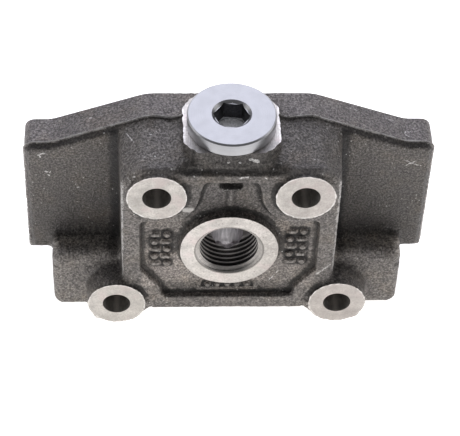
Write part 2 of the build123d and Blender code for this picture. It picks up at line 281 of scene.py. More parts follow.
def stamp(v):
    m = np.zeros(len(v))
    for x, z, w, h, t in BARS:
        m = np.maximum(m, t * step(-0.3, 0.3, w / 2 - abs(v[:, 0] - x)) * step(-0.3, 0.3, h / 2 - abs(v[:, 2] - z)))
    for x, z, r, t in PIPS:
        m = np.maximum(m, t * step(-0.35, 0.35, r - np.hypot(v[:, 0] - x, v[:, 2] - z)))
    return m


def lip_wave(x):
    """Unevenness of the rim beside the plug boss, in mm."""
    a = abs(x)
    return 0.22 * np.exp(-((a - 25.0) / 2.6) ** 2) - 0.55 * np.exp(-((a - 19.0) / 1.9) ** 2) + 0.5 * np.exp(-((a - 14.6) / 1.6) ** 2)


def outline_points(gap=0.32):
    pts = []
    for k, (x, z, r) in enumerate(OUTLINE):
        if r == 0:
            pts.append(np.array([x, z]))
            continue
        p, a, b = np.array([x, z]), np.array(OUTLINE[k - 1][:2]), np.array(OUTLINE[k + 1][:2])
        u, w = (a - p) / np.linalg.norm(a - p), (b - p) / np.linalg.norm(b - p)
        half = 0.5 * math.acos(float(np.clip(u @ w, -1, 1)))
        t = r / math.tan(half)
        c = p + (u + w) / np.linalg.norm(u + w) * (r / math.sin(half))
        s0, s1 = p + u * t, p + w * t
        a0 = math.atan2(*(s0 - c)[::-1])
        da = (math.atan2(*(s1 - c)[::-1]) - a0 + math.pi) % (2 * math.pi) - math.pi
        m = max(4, int(abs(da) * r / gap))
        pts += [c + r * np.array([math.cos(a0 + da * i / m), math.sin(a0 + da * i / m)]) for i in range(m + 1)]
    out = [pts[0]]
    for q in pts[1:]:
        d = np.linalg.norm(q - out[-1])
        if d < 1e-6:
            continue
        n = max(1, int(d / gap))
        out += [out[-1] + (q - out[-1]) * (i + 1) / n for i in range(n)]
    return np.array(out)


def flash_fin(side):
    """Thin ragged fin that the parting line leaves round the rear plate."""
    q = outline_points()
    q[:, 1] += np.where(q[:, 1] > 37.0, lip_wave(q[:, 0]), 0.0)
    tan = np.gradient(q, axis=0)
    tan /= np.linalg.norm(tan, axis=1)[:, None]
    out = np.c_[-tan[:, 1], tan[:, 0]]
    s = np.r_[0, np.cumsum(np.linalg.norm(np.diff(q, axis=0), axis=1))]
    o = np.zeros_like(s) + 40.0 * side
    h = 0.26 + 0.20 * noise(np.c_[s, o, o], 1.15, 31) + 0.24 * noise(np.c_[s, o, o], 3.4, 32) + 0.12 * noise(np.c_[s, o, o], 0.55, 33)
    h = np.clip(h, 0.03, 0.72) * step(0.0, 1.5, s) * (0.25 + 0.75 * step(0.0, 3.0, s[-1] - s)) + 0.02
    yc = PART_Y + 0.10 + 0.22 * noise(np.c_[s, o, o], 7.0, 34)
    verts, k = [], 6
    for i in range(len(q)):
        for a, dy in ((-0.65, -0.42), (0.0, -0.20), (h[i], -0.06), (h[i], 0.06), (0.0, 0.24), (-0.65, 0.46)):
            r = q[i] + out[i] * a
            verts.append((side * r[0], yc[i] + dy, r[1]))
    faces = []
    for i in range(len(q) - 1):
        for j in range(k):
            l = (j + 1) % k
            faces.append((i * k + j, (i + 1) * k + j, (i + 1) * k + l, i * k + l))
    faces.append(tuple(range(k)))
    faces.append(tuple(reversed(range((len(q) - 1) * k, len(q) * k))))
    return fixed(new_object("fin", verts, faces))


def round_box(v, sel, centre_side, r):
    """Round the corners of a block: centre_side gives, per point, how far it is
    beyond the inner box along each axis."""
    a = np.maximum(centre_side, 0)
    d = np.linalg.norm(a, axis=1)
    hit = sel & (d > r)
    k = np.ones(len(v))
    k[hit] = r / d[hit]
    return a * (k - 1)[:, None], hit


def build_casting():
    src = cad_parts["outlet_body"]
    me = src.data.copy()
    me.materials.clear()
    v = coords(me) * 1000.0 + np.array([0.0, Y0, -Z0])
    r_port = np.hypot(v[:, 0], v[:, 2])
    # stock left for machining: the cast faces stand proud of the finished ones
    v[v[:, 1] > 30.4, 1] += 1.4
    v[(v[:, 1] < 0.05), 1] -= 1.0
    v[(abs(v[:, 1] - 0.3) < 0.03) & (r_port < 16.0), 1] -= 1.0
    v[v[:, 2] > 40.95, 2] += 1.0
    set_coords(me, v)
    ob = bpy.data.objects.new("cast_body", me)
    bpy.context.scene.collection.objects.link(ob)
    bm = bmesh.new()
    bm.from_mesh(me)
    bmesh.ops.remove_doubles(bm, verts=bm.verts, dist=0.002)
    # cores of every bore, so that the remeshed blank is solid
    bm.to_mesh(me)
    bm.free()
    fill = [rod("f", along_y(x, z), 5.2, -1.0, 32.3, 48) for x, z in RODS]
    fill.append(rod("f", along_y(0, 0), 12.4, -0.7, 17.5, 72))
    fill.append(rod("f", along_y(0, 0), 8.8, 12.0, 32.3, 64))
    fill.append(rod("f", along_z(0, PLUG_Y), 12.2, 20.0, 42.0, 72))
    fill.append(rod("f", along_z(0, 15.6), 6.0, -22.5, 27.0, 48))
    bm = bmesh.new()
    bm.from_mesh(me)
    for f in fill:
        bm.from_mesh(f.data)
    bm.to_mesh(me)
    bm.free()
    remove(*fill)
    m = ob.modifiers.new("r", "REMESH")
    m.mode = "VOXEL"
    m.voxel_size = VOXEL
    m.adaptivity = 0.0
    apply_mods(ob)
    me = ob.data
    v = coords(me)
    e = edge_pairs(me)
    n = len(v)
    rear = step(29.6, 30.3, v[:, 1])
    panel = ((abs(v[:, 0]) < 29) & (v[:, 2] > -24) & (v[:, 2] < 29.5) & (v[:, 1] < 4.4)).astype(float)
    # stair steps out, edges rounded as the mould leaves them
    for it in range(14):
        k = 0.5 if it % 2 == 0 else -0.52
        v = v + k * (neighbour_mean(v, e, n) - v)
    seam = np.exp(-((v[:, 1] - PART_Y) / 0.9) ** 2) * (abs(v[:, 0]) > 14)
    front = ((abs(v[:, 0]) < 37) & (v[:, 2] > -30) & (v[:, 2] < 37.5) & (v[:, 1] < 4.4)) * 0.85
    rest = np.maximum(np.maximum(panel, seam), front)
    for it in range(5):
        k = 0.5 * (1 - 0.85 * rest)
        v = v + k[:, None] * (neighbour_mean(v, e, n) - v)
    # wide blends: plug boss into the hub's top, webs into the feet
    ax = abs(v[:, 0])
    blends = (((1 - step(14.5, 18.5, ax)) * step(32.8, 34.2, v[:, 2]) * (1 - step(38.2, 39.4, v[:, 2])) * (1 - step(8.0, 12.0, v[:, 1])), 26),
              (step(34.5, 36.5, ax) * (1 - step(51.5, 54.5, ax)) * step(-15.5, -13.0, v[:, 2]) * (1 - step(-3.0, 1.0, v[:, 2])) * step(9.5, 12.0, v[:, 1]), 60),
              (step(33.2, 34.2, ax) * (1 - step(41.0, 44.0, ax)) * step(-16.0, -12.0, v[:, 2]) * (1 - step(25.0, 29.0, v[:, 2])) * step(12.5, 15.0, v[:, 1]), 14))
    for w, times in blends:
        for it in range(times):
            v = v + (0.5 * w)[:, None] * (neighbour_mean(v, e, n) - v)
    flat = (v[:, 1] > 1.9) & (v[:, 1] < 4.3) & (abs(v[:, 0]) < 26.5) & (v[:, 2] > -22.9) & (v[:, 2] < 25.6)
    v[flat, 1] = np.minimum(v[flat, 1], 3.5 - stamp(v)[flat])
    # the feet's edges are rounder still
    ax = abs(v[:, 0])
    sx = np.sign(v[:, 0])
    for sel, r in (((ax > 46.5) & (v[:, 1] < 12), 2.3), ((ax > 35.5) & (v[:, 1] < 14) & (v[:, 1] > 7.2) & (v[:, 2] > -16.5), 3.0)):
        inner = np.c_[ax - (56.8 - r), (8.0 + r) - v[:, 1], np.where(v[:, 2] > -23, v[:, 2] - (-10.6 - r), (-35.4 + r) - v[:, 2])]
        move, hit = round_box(v, sel & (v[:, 2] < -10.0), inner, r)
        v[:, 0] += np.where(hit, sx * move[:, 0], 0)
        v[:, 1] -= np.where(hit, move[:, 1], 0)
        v[:, 2] += np.where(hit, np.where(v[:, 2] > -23, move[:, 2], -move[:, 2]), 0)
    v[:, 2] -= 0.40 * (1 - step(-28.4, -26.8, v[:, 2])) * (abs(v[:, 0]) < 24.5)
    # the plate's sides stand back by the height of the flash
    v[:, 0] -= np.sign(v[:, 0]) * 0.30 * step(60.5, 63.5, abs(v[:, 0]))
    lip = (v[:, 2] > 36.0) & (v[:, 1] > 17.0)
    v[lip, 2] += (lip_wave(v[:, 0]) * step(36.0, 38.6, v[:, 2]) * step(17.5, 20.0, v[:, 1]) * (1 - step(20.9, 24.5, v[:, 1])))[lip]
    set_coords(me, v)
    nr = normals(me)

    # parting-line flash and the set-off of the two mould halves
    d = v[:, 1] - (PART_Y + 0.25 * noise(v * [1, 0, 1], 9.0, 5))
    side = 1 - step(0.55, 0.9, abs(nr[:, 1]))
    s = v[:, 0] + v[:, 2] * 0.37
    ridge = 0.14 + 0.10 * noise(np.c_[s, 0 * s, 0 * s], 1.1, 11) + 0.08 * noise(np.c_[s, 0 * s, 0 * s], 3.3, 12)
    off = (abs(v[:, 0]) > 14.5).astype(float)
    outw = nr * [1, 0, 1]
    outw /= np.maximum(np.linalg.norm(outw, axis=1), 1e-6)[:, None]
    bump_w = np.exp(-((d - 0.10) / 0.36) ** 2) * side * off
    v = v + outw * (bump_w * np.clip(ridge, 0.02, 0.40))[:, None]
    # undercut shadow line just in front of the flash
    v = v - outw * ((np.exp(-((d + 0.95) / 0.50) ** 2) * side * off) * 0.24)[:, None]
    # boss front stands back a little under the collar, its rim torn
    bf = (abs(v[:, 0]) < 15.5) & (v[:, 1] < 5.0) & (v[:, 2] > 34.0)
    v[bf, 1] += 0.75 * step(35.0, 38.5, v[bf, 2]) * (1 - step(9.5, 15.0, abs(v[bf, 0])))
    rim = (abs(v[:, 0]) < 17.5) & (v[:, 2] > 38.0) & (v[:, 1] > 1.5)
    tear = 0.26 * noise(v, 1.3, 21) + 0.22 * noise(v, 2.6, 22)
    v = v + nr * (tear * rim * step(38.0, 40.2, v[:, 2]))[:, None]
    # rough wall under the collar
    wall = (abs(v[:, 0]) < 16.0) & (v[:, 1] < 6.0) & (v[:, 2] > 33.0)
    v = v + nr * ((0.24 * noise(v, 1.4, 23) + 0.20 * noise(v, 3.0, 24)) * wall * step(33.0, 34.5, v[:, 2]))[:, None]
    # ragged edges of the spot faces
    for x, z in RODS:
        r = np.hypot(v[:, 0] - x, v[:, 2] - z)
        ring = np.exp(-((r - 9.3) / 1.0) ** 2) * (v[:, 1] < 2.2)
        v = v + nr * ((0.20 * noise(v, 1.1, 25) + 0.14 * noise(v, 2.4, 26)) * ring)[:, None]
    ring = np.exp(-((np.hypot(v[:, 0], v[:, 2]) - 17.2) / 1.0) ** 2) * (v[:, 1] < 2.2)
    v = v + nr * ((0.16 * noise(v, 1.2, 27) + 0.10 * noise(v, 2.8, 28)) * ring)[:, None]
    # small smear of metal beside the upper left boss
    v[:, 1] -= 0.28 * np.exp(-((v[:, 0] + 13.1) / 1.5) ** 2 - ((v[:, 2] - 18.0) / 0.8) ** 2) * (v[:, 1] < 3.0)

    # sand grain
    set_coords(me, v)
    nr = normals(me)
    grain = (0.055 * noise(v, 0.95, 1) + 0.065 * noise(v, 1.9, 2) + 0.070 * noise(v, 4.2, 3) + 0.10 * noise(v, 11.0, 4))
    grain *= 1 - rear
    v = v + nr * grain[:, None]
    # keep inside the object's own size
    v[:, 0] = np.clip(v[:, 0], -64.79, 64.79)
    v[:, 2] = np.maximum(v[:, 2], -35.395)
    set_coords(me, v)

    # convexity, for the worn edges and the painted shade in hollows
    nr = normals(me)
    lap = neighbour_mean(v, e, n) - v
    curv = -(lap * nr).sum(1)
    for _ in range(3):
        curv = 0.5 * curv + 0.5 * neighbour_mean(curv, e, n)
    wide = curv.copy()
    for _ in range(10):
        wide = 0.5 * wide + 0.5 * neighbour_mean(wide, e, n)
    kd = KDTree(n)
    for i in range(n):
        kd.insert(v[i], i)
    kd.balance()

    tris = sum(len(p.vertices) - 2 for p in me.polygons)
    m = ob.modifiers.new("d", "DECIMATE")
    m.ratio = min(1.0, TARGET_TRIS / tris)
    m.use_collapse_triangulate = True
    apply_mods(ob)
    print("blank", n, "verts", tris, "tris ->", len(ob.data.polygons))

    for side in (-1, 1):
        boolean(ob, flash_fin(side), "UNION")
    v = coords(ob.data)
    v[:, 0] = np.clip(v[:, 0], -64.79, 64.79)
    set_coords(ob.data, v)

    # machining
    boolean(ob, box("c", (-90, 31.0, -60), (90, 40, 60)))
    boolean(ob, box("c", (-90, -8, -60), (90, 0.0, 60)))
    boolean(ob, rod("c", along_y(0, 0), 17.6, -6, 0.3, 96))
    boolean(ob, box("c", (-20, -1, 41.0), (20, 33, 50)))
    for x, z in RODS:
        boolean(ob, rod("c", along_y(x, z), ROD_R, -4, 35, 96))
    boolean(ob, revolve([(0, 26.0), (CROSS_R, 26.0), (CROSS_R, -18.5), (0.6, -21.3), (0, -21.3)], 64, along_z(0, 15.6), "c"))
    boolean(ob, revolve([(0, 14.0), (7.0, 14.0), (7.0, 30.2), (8.6, 31.8), (8.6, 34.0), (0, 34.0)], 96, along_y(0, 0), "c"))
    boolean(ob, revolve([(0, -4.0), (15.05, -4.0), (9.32, 1.73), (9.32, 16.3), (5.5, 18.5), (0, 18.5)], 128, along_y(0, 0), "c"))
    boolean(ob, helix("c", along_y(0, 0), -3.2, 14.4, 9.20, R_MAJOR, 9.0, (0, 2.4)))
    boolean(ob, revolve([(0, 46.0), (15.99, 46.0), (9.32, 39.33), (9.32, 24.0), (0, 24.0)], 96, along_z(0, PLUG_Y), "c"))
    boolean(ob, helix("c", down_z(0, PLUG_Y, PLUG_Z), -3.0, 15.0, 9.20, R_MAJOR, 9.0, (0, 2.4), 60))
    return ob, kd, curv, wide


CROSS_R = 5.2


def down_z(x, y, z):
    return lambda a, b, t: (x + a, y - b, z - t)


def face_data(me):
    c = np.empty(len(me.polygons) * 3)
    me.polygons.foreach_get("center", c)
    nn = np.empty(len(me.polygons) * 3)
    me.polygons.foreach_get("normal", nn)
    return c.reshape(-1, 3), nn.reshape(-1, 3)


def sharp_between(me, mat_of, angle, skip=()):
    """Sharp edges where two finishes meet, and at corners of machined faces."""
    _, nn = face_data(me)
    ne = len(me.edges)
    first = np.full(ne, -1, dtype=np.int64)
    second = np.full(ne, -1, dtype=np.int64)
    le = np.empty(len(me.loops), dtype=np.int64)
    me.loops.foreach_get("edge_index", le)
    starts = np.empty(len(me.polygons), dtype=np.int64)
    me.polygons.foreach_get("loop_start", starts)
    totals = np.empty(len(me.polygons), dtype=np.int64)
    me.polygons.foreach_get("loop_total", totals)
    lf = np.repeat(np.arange(len(me.polygons)), totals)
    order = np.argsort(le, kind="stable")
    se, sf = le[order], lf[order]
    new = np.r_[True, se[1:] != se[:-1]]
    first[se[new]] = sf[new]
    rest = ~new
    second[se[rest]] = sf[rest]
    ok = (first >= 0) & (second >= 0)
    f, s = first[ok], second[ok]
    cosang = (nn[f] * nn[s]).sum(1)
    sharp = np.zeros(ne, dtype=bool)
    hard = ~np.isin(mat_of[f], list(skip)) & ~np.isin(mat_of[s], list(skip))
    sharp[ok] = (mat_of[f] != mat_of[s]) | (hard & (cosang < math.cos(math.radians(angle))))
    at = me.attributes.get("sharp_edge") or me.attributes.new("sharp_edge", "BOOLEAN", "EDGE")
    at.data.foreach_set("value", sharp)
    me.polygons.foreach_set("use_smooth", np.ones(len(me.polygons), dtype=bool))
    me.update()


def to_row(me):
    v = coords(me)
    v = (v - np.array([0.0, Y0, -Z0])) * 0.001
    set_coords(me, v)


cast, kd, curv, wide = build_casting()
me = cast.data
me.materials.clear()
c, nn = face_data(me)
SKIN, FACED, SPOT, BORE, THREAD, DRILLED, MOUTH = range(7)
mat_of = np.zeros(len(c), dtype=np.int32)
rp = np.hypot(c[:, 0], c[:, 2])
mat_of[(abs(c[:, 1] - 31.0) < 2e-3) & (nn[:, 1] > 0.99)] = FACED
mat_of[(c[:, 1] < 2e-3) & (nn[:, 1] < -0.99)] = SPOT
mat_of[(abs(c[:, 1] - 0.3) < 2e-3) & (nn[:, 1] < -0.99) & (rp < 17.5)] = SPOT
mat_of[(abs(c[:, 2] - 41.0) < 2e-3) & (nn[:, 2] > 0.99)] = SPOT
flat_y = abs(nn[:, 1]) > 0.99
for x, z in RODS:
    mat_of[(np.hypot(c[:, 0] - x, c[:, 2] - z) < ROD_R + 0.02) & ~flat_y] = BORE
mat_of[(np.hypot(c[:, 0], c[:, 1] - 15.6) < 5.22) & (c[:, 2] > -21.5) & (c[:, 2] < 25)] = DRILLED
mat_of[(rp < 10.6) & (c[:, 1] > 0.35) & (c[:, 1] < 18.6) & (mat_of != DRILLED)] = THREAD
mat_of[(rp < 9.45) & (c[:, 1] > 16.2) & (c[:, 1] < 18.6) & (nn[:, 1] < -0.3)] = DRILLED
mat_of[(rp < 11.2) & (c[:, 1] > 0.31) & (c[:, 1] < 2.1) & (nn[:, 1] < -0.6)] = MOUTH
mat_of[(rp < 8.9) & (c[:, 1] > 18.6) & (c[:, 1] < 30.99) & (mat_of != DRILLED)] = BORE
rt = np.hypot(c[:, 0], c[:, 1] - PLUG_Y)
mat_of[(rt < 11.2) & (c[:, 2] > 23.9) & (c[:, 2] < 40.99)] = THREAD
mat_of[(abs(c[:, 2] + 35.395) < 0.02) & (nn[:, 2] < -0.9)] = SKIN

# worn-edge and painted hollow-shade values from the blank
v = coords(me)
wear_and_shade = np.zeros(len(v), dtype=np.float32)
fin_zone = abs(v[:, 1] - PART_Y - 0.1) < 0.75
for i in range(len(v)):
    _, j, far = kd.find(v[i])
    wear_and_shade[i] = 0.5 * curv[j] + 1.2 * wide[j]
    if fin_zone[i] and far > 0.24:
        wear_and_shade[i] = max(wear_and_shade[i], 0.13)
at = me.attributes.new("wear_and_shade", "FLOAT", "POINT")
at.data.foreach_set("value", wear_and_shade)
print("wear percentiles", np.percentile(wear_and_shade, [1, 10, 50, 90, 99]))
me.polygons.foreach_set("material_index", mat_of)
sharp_between(me, mat_of, 32, skip=(SKIN,))
to_row(me)
print("cast tris", sum(len(p.vertices) - 2 for p in me.polygons))


# ------------------------------------------------------------------ plug
def build_plug():
    top = 4.6
    prof = [(0, 1.0), (11.32, 1.0), (11.32, 1.88), (12.72, 1.88), (12.72, 0.02), (13.52, 0.02),
            (13.62, 0.05), (13.73, 0.13), (13.79, 0.24), (13.80, 0.30),
            (13.80, 4.05), (13.78, 4.14), (13.71, 4.24), (13.45, 4.50), (13.37, 4.56), (13.27, 4.595), (13.20, 4.6),
            (0, 4.6)]
    up = lambda a, b, t: (a, PLUG_Y + b, PLUG_Z + t)
    head = revolve(prof, 128, up, "screw_plug")
    shank = revolve([(0, 1.4), (11.33, 1.4), (11.33, 0.02), (9.6, 0.02), (9.35, -0.2), (9.35, -11.8), (8.2, -13.0), (0, -13.0)], 96, up, "s")
    boolean(head, shank, "UNION")
    th = helix("t", down_z(0, PLUG_Y, PLUG_Z), 1.2, 12.6, 9.28, 10.40, 9.1, (1.6, 1.6), 72)
    boolean(head, th, "UNION")
    # hexagon socket, turned a little, with a cone at its mouth and a drilled bottom
    n, turn = 6, math.radians(-6.0)
    R = 5.0 / math.cos(math.pi / 6)
    pts = [(R * math.cos(turn + i * math.pi / 3), R * math.sin(turn + i * math.pi / 3)) for i in range(n)]
    v = [up(a, b, -2.0) for a, b in pts] + [up(a, b, 6.0) for a, b in pts]
    f = [tuple(reversed(range(n))), tuple(range(n, 2 * n))] + [(i, (i + 1) % n, n + (i + 1) % n, n + i) for i in range(n)]
    boolean(head, fixed(new_object("h", v, f)))
    boolean(head, revolve([(0, 5.2), (6.85, 5.2), (6.2, 4.6), (5.25, 3.72), (0, 3.72)], 128, up, "k"))
    boolean(head, revolve([(0, -1.8), (4.85, -1.8), (4.85, -2.3), (0.4, -3.4), (0, -3.4)], 64, up, "k"))
    return head


plug = build_plug()
me = plug.data
me.materials.clear()
c, nn = face_data(me)
rr = np.hypot(c[:, 0], c[:, 1] - PLUG_Y)
zz = c[:, 2] - PLUG_Z
TURNED, SOCKET, SCREW, FLOOR = range(4)
pm = np.zeros(len(c), dtype=np.int32)
pm[(rr < 5.85) & (zz > -1.95) & (zz < 4.3) & (abs(nn[:, 2]) < 0.4)] = SOCKET
pm[(zz < 0.0) & (rr > 5.9)] = SCREW
pm[(zz < -12.9)] = SCREW
pm[(rr < 5.85) & (zz < -1.7) & (zz > -3.6) & (abs(nn[:, 2]) > 0.4)] = FLOOR
me.polygons.foreach_set("material_index", pm)
sharp_between(me, pm, 24)
to_row(me)
print("plug tris", sum(len(p.vertices) - 2 for p in me.polygons))

# seal ring: rounded section in the collar's groove
sec = []
for i in range(20):
    a = 2 * math.pi * i / 20
    ca, sa = math.cos(a), math.sin(a)
    sec.append((12.02 + 0.64 * math.copysign(abs(ca) ** 0.55, ca), 0.94 + 0.92 * math.copysign(abs(sa) ** 0.55, sa)))
ns = 144
vs, fs = [], []
for i in range(ns):
    a = 2 * math.pi * i / ns
    for r, t in sec:
        vs.append((r * math.cos(a), PLUG_Y + r * math.sin(a), PLUG_Z + t))
for i in range(ns):
    j = (i + 1) % ns
    for k in range(20):
        l = (k + 1) % 20
        fs.append((i * 20 + k, j * 20 + k, j * 20 + l, i * 20 + l))
ring = fixed(new_object("seal_ring", vs, fs))
ring.data.polygons.foreach_set("use_smooth", np.ones(len(ring.data.polygons), dtype=bool))
to_row(ring.data)


# ------------------------------------------------------------------ materials
class Mat:
    def __init__(self, name):
        self.m = bpy.data.materials.new(name)
        self.m.use_nodes = True
        self.t = self.m.node_tree
        self.t.nodes.clear()
        self.out = self.n("ShaderNodeOutputMaterial")
        self.b = self.n("ShaderNodeBsdfPrincipled")
        self.link(self.b.outputs[0], self.out.inputs["Surface"])
        self.tc = self.n("ShaderNodeTexCoord").outputs["Object"]
        mp = self.n("ShaderNodeMapping")
        mp.inputs["Scale"].default_value = (1000, 1000, 1000)
        self.link(self.tc, mp.inputs["Vector"])
        self.mm = mp.outputs[0]

    def n(self, kind, **props):
        x = self.t.nodes.new(kind)
        for k, val in props.items():
            setattr(x, k, val)
        return x

    def link(self, a, b):
        self.t.links.new(a, b)

    def put(self, sock, val):
        if isinstance(val, bpy.types.NodeSocket):
            self.link(val, sock)
        else:
            sock.default_value = val

    def noise(self, size, detail=2.0, rough=0.5, vec=None, dist=0.0, offset=None):
        x = self.n("ShaderNodeTexNoise")
        x.inputs["Scale"].default_value = 1.0 / size
        x.inputs["Detail"].default_value = detail
        x.inputs["Roughness"].default_value = rough
        x.inputs["Distortion"].default_value = dist
        src = vec if vec is not None else self.mm
        if offset is not None:
            src = self.vmath("ADD", src, offset)
        self.link(src, x.inputs["Vector"])
        return x.outputs["Fac"]

    def voronoi(self, size, feature="F1", vec=None, rnd=1.0):
        x = self.n("ShaderNodeTexVoronoi", feature=feature)
        x.inputs["Scale"].default_value = 1.0 / size
        x.inputs["Randomness"].default_value = rnd
        self.link(vec if vec is not None else self.mm, x.inputs["Vector"])
        return x

    def math(self, op, a, b=None, c=None, clamp=False):
        x = self.n("ShaderNodeMath", operation=op, use_clamp=clamp)
        self.put(x.inputs[0], a)
        if b is not None:
            self.put(x.inputs[1], b)
        if c is not None:
            self.put(x.inputs[2], c)
        return x.outputs[0]

    def vmath(self, op, a, b=None, out=0):
        x = self.n("ShaderNodeVectorMath", operation=op)
        self.put(x.inputs[0], a)
        if b is not None:
            self.put(x.inputs[1], b)
        return x.outputs["Value"] if op in ("LENGTH", "DOT_PRODUCT", "DISTANCE") else x.outputs[0]

    def range(self, x, a, b, lo=0.0, hi=1.0, smooth=True):
        r = self.n("ShaderNodeMapRange", interpolation_type="SMOOTHSTEP" if smooth else "LINEAR", clamp=True)
        self.link(x, r.inputs["Value"])
        for k, val in (("From Min", a), ("From Max", b), ("To Min", lo), ("To Max", hi)):
            r.inputs[k].default_value = val
        return r.outputs["Result"]

    def ramp(self, x, stops):
        r = self.n("ShaderNodeValToRGB")
        el = r.color_ramp.elements
        while len(el) < len(stops):
            el.new(0.5)
        for e, (p, col) in zip(el, stops):
            e.position = p
            e.color = (*col, 1)
        self.link(x, r.inputs[0])
        return r.outputs[0]

    def mix(self, f, a, b, mode="MIX"):
        x = self.n("ShaderNodeMix", data_type="RGBA", blend_type=mode)
        self.put(x.inputs[0], f)
        self.put(x.inputs[6], (*a, 1) if isinstance(a, tuple) and len(a) == 3 else a)
        self.put(x.inputs[7], (*b, 1) if isinstance(b, tuple) and len(b) == 3 else b)
        return x.outputs[2]

    def bump(self, h, dist, strength=1.0, normal=None):
        x = self.n("ShaderNodeBump")
        x.inputs["Strength"].default_value = strength
        x.inputs["Distance"].default_value = dist
        self.link(h, x.inputs["Height"])
        if normal is not None:
            self.link(normal, x.inputs["Normal"])
        return x.outputs[0]

    def axis_distance(self, centre, flat):
        """Distance in mm from an axis through centre; flat has 0 along it."""
        d = self.vmath("SUBTRACT", self.mm, centre)
        d = self.vmath("MULTIPLY", d, flat)
        return self.vmath("LENGTH", d)

    def segment(self, p, q, w, jag=None):
        """1 on a thin line from p to q (mm, row frame), 0 away from it."""
        p, q = Vector(p), Vector(q)
        d = q - p
        rel = self.vmath("SUBTRACT", jag if jag is not None else self.mm, tuple(p))
        t = self.vmath("DOT_PRODUCT", rel, tuple(d / d.length_squared))
        t = self.math("MINIMUM", self.math("MAXIMUM", t, 0.0), 1.0)
        sc = self.n("ShaderNodeVectorMath", operation="SCALE")
        sc.inputs[0].default_value = tuple(d)
        self.link(t, sc.inputs["Scale"])
        near = self.vmath("DISTANCE", rel, sc.outputs[0])
        return self.range(near, w, w * 0.35)


# bright marks on the casting: two ends (mm, row frame) and half width
KNOCKS = (
    ((2.1, -14.2, 67.5), (4.8, -14.2, 68.1), 0.42), 
    ((10.3, -14.2, 67.7), (10.5, -14.2, 67.6), 0.42), ((-11.6, -14.2, 68.4), (-11.5, -14.2, 68.5), 0.38),
    ((-1.4, -12.2, 72.5), (-0.9, -12.2, 72.5), 0.40), ((2.2, -12.2, 72.6), (2.6, -12.2, 72.5), 0.40),
    ((0.6, -12.2, 71.5), (1.0, -12.2, 71.5), 0.36), ((5.6, -12.2, 73.7), (7.7, -12.2, 72.9), 0.75),
    ((12.7, -12.6, 70.0), (13.7, -12.6, 69.6), 0.42), ((-8.3, -12.2, 71.4), (-7.9, -12.2, 71.5), 0.36),
    ((55.3, 3.3, 57.5), (60.7, 3.3, 54.7), 0.24), ((56.2, 3.3, 55.2), (59.2, 3.3, 57.0), 0.22),
    ((-60.0, 3.3, 60.1), (-59.4, 3.3, 59.2), 0.32), ((-43.7, 11.2, 68.5), (-43.4, 11.0, 68.6), 0.32),
    ((-25.0, -0.6, 73.2), (-24.8, -0.7, 73.2), 0.34), ((-23.5, -8.8, 71.9), (-23.3, -8.9, 71.9), 0.34),
    ((-32.7, 2.3, 70.8), (-30.5, -1.3, 71.3), 0.26), ((-18.1, -13.1, 71.0), (-17.8, -13.1, 71.1), 0.36),
    ((57.3, 9.6, 63.9), (55.7, 9.3, 64.1), 0.22), ((55.7, 9.3, 64.1), (55.5, 7.7, 64.1), 0.22),
    ((55.5, 7.7, 64.1), (57.0, 7.2, 63.9), 0.22), ((49.6, 12.9, 66.2), (52.3, 13.0, 65.2), 0.22),
    ((37.9, 13.3, 70.6), (40.5, 13.4, 69.7), 0.22),
    ((16.5, -12.0, 22.3), (14.9, -12.0, 19.4), 0.22), ((14.9, -12.0, 19.4), (13.6, -12.0, 17.4), 0.34), ((20.8, -12.0, 16.8), (20.9, -12.0, 16.7), 0.30),
    ((-59.6, 3.3, 60.3), (-57.9, 3.3, 60.9), 0.34), ((-57.9, 3.3, 52.6), (-57.6, 3.3, 52.4), 0.42), ((-57.0, 3.3, 51.2), (-56.8, 3.3, 51.0), 0.34),
    ((-56.6, 3.3, 52.3), (-56.4, 3.3, 52.6), 0.30), ((-47.9, 3.3, 45.4), (-47.7, 3.3, 45.2), 0.40), ((-48.7, 3.3, 47.0), (-48.4, 3.3, 46.8), 0.26),
    ((-27.0, -8.96, 71.75), (-26.7, -9.1, 71.7), 0.36), ((-18.4, -13.4, 70.9), (-17.5, -13.3, 71.0), 0.60), ((-21.9, -14.5, 69.5), (-21.4, -14.4, 69.6), 0.40),
    ((-31.9, -13.6, 67.3), (-31.5, -13.7, 67.0), 0.40), ((-33.2, -13.0, 65.4), (-32.7, -13.2, 65.9), 0.40), ((-30.2, -14.0, 68.2), (-29.6, -14.1, 68.3), 0.34),
)
RUBS = (((-34.0, -13.4, 64.0), (-34.3, -12.8, 22.0), 1.25), ((33.8, -13.4, 64.3), (34.2, -12.8, 24.0), 1.15),
        ((28.5, -14.0, 22.6), (32.6, -13.8, 27.0), 0.55))


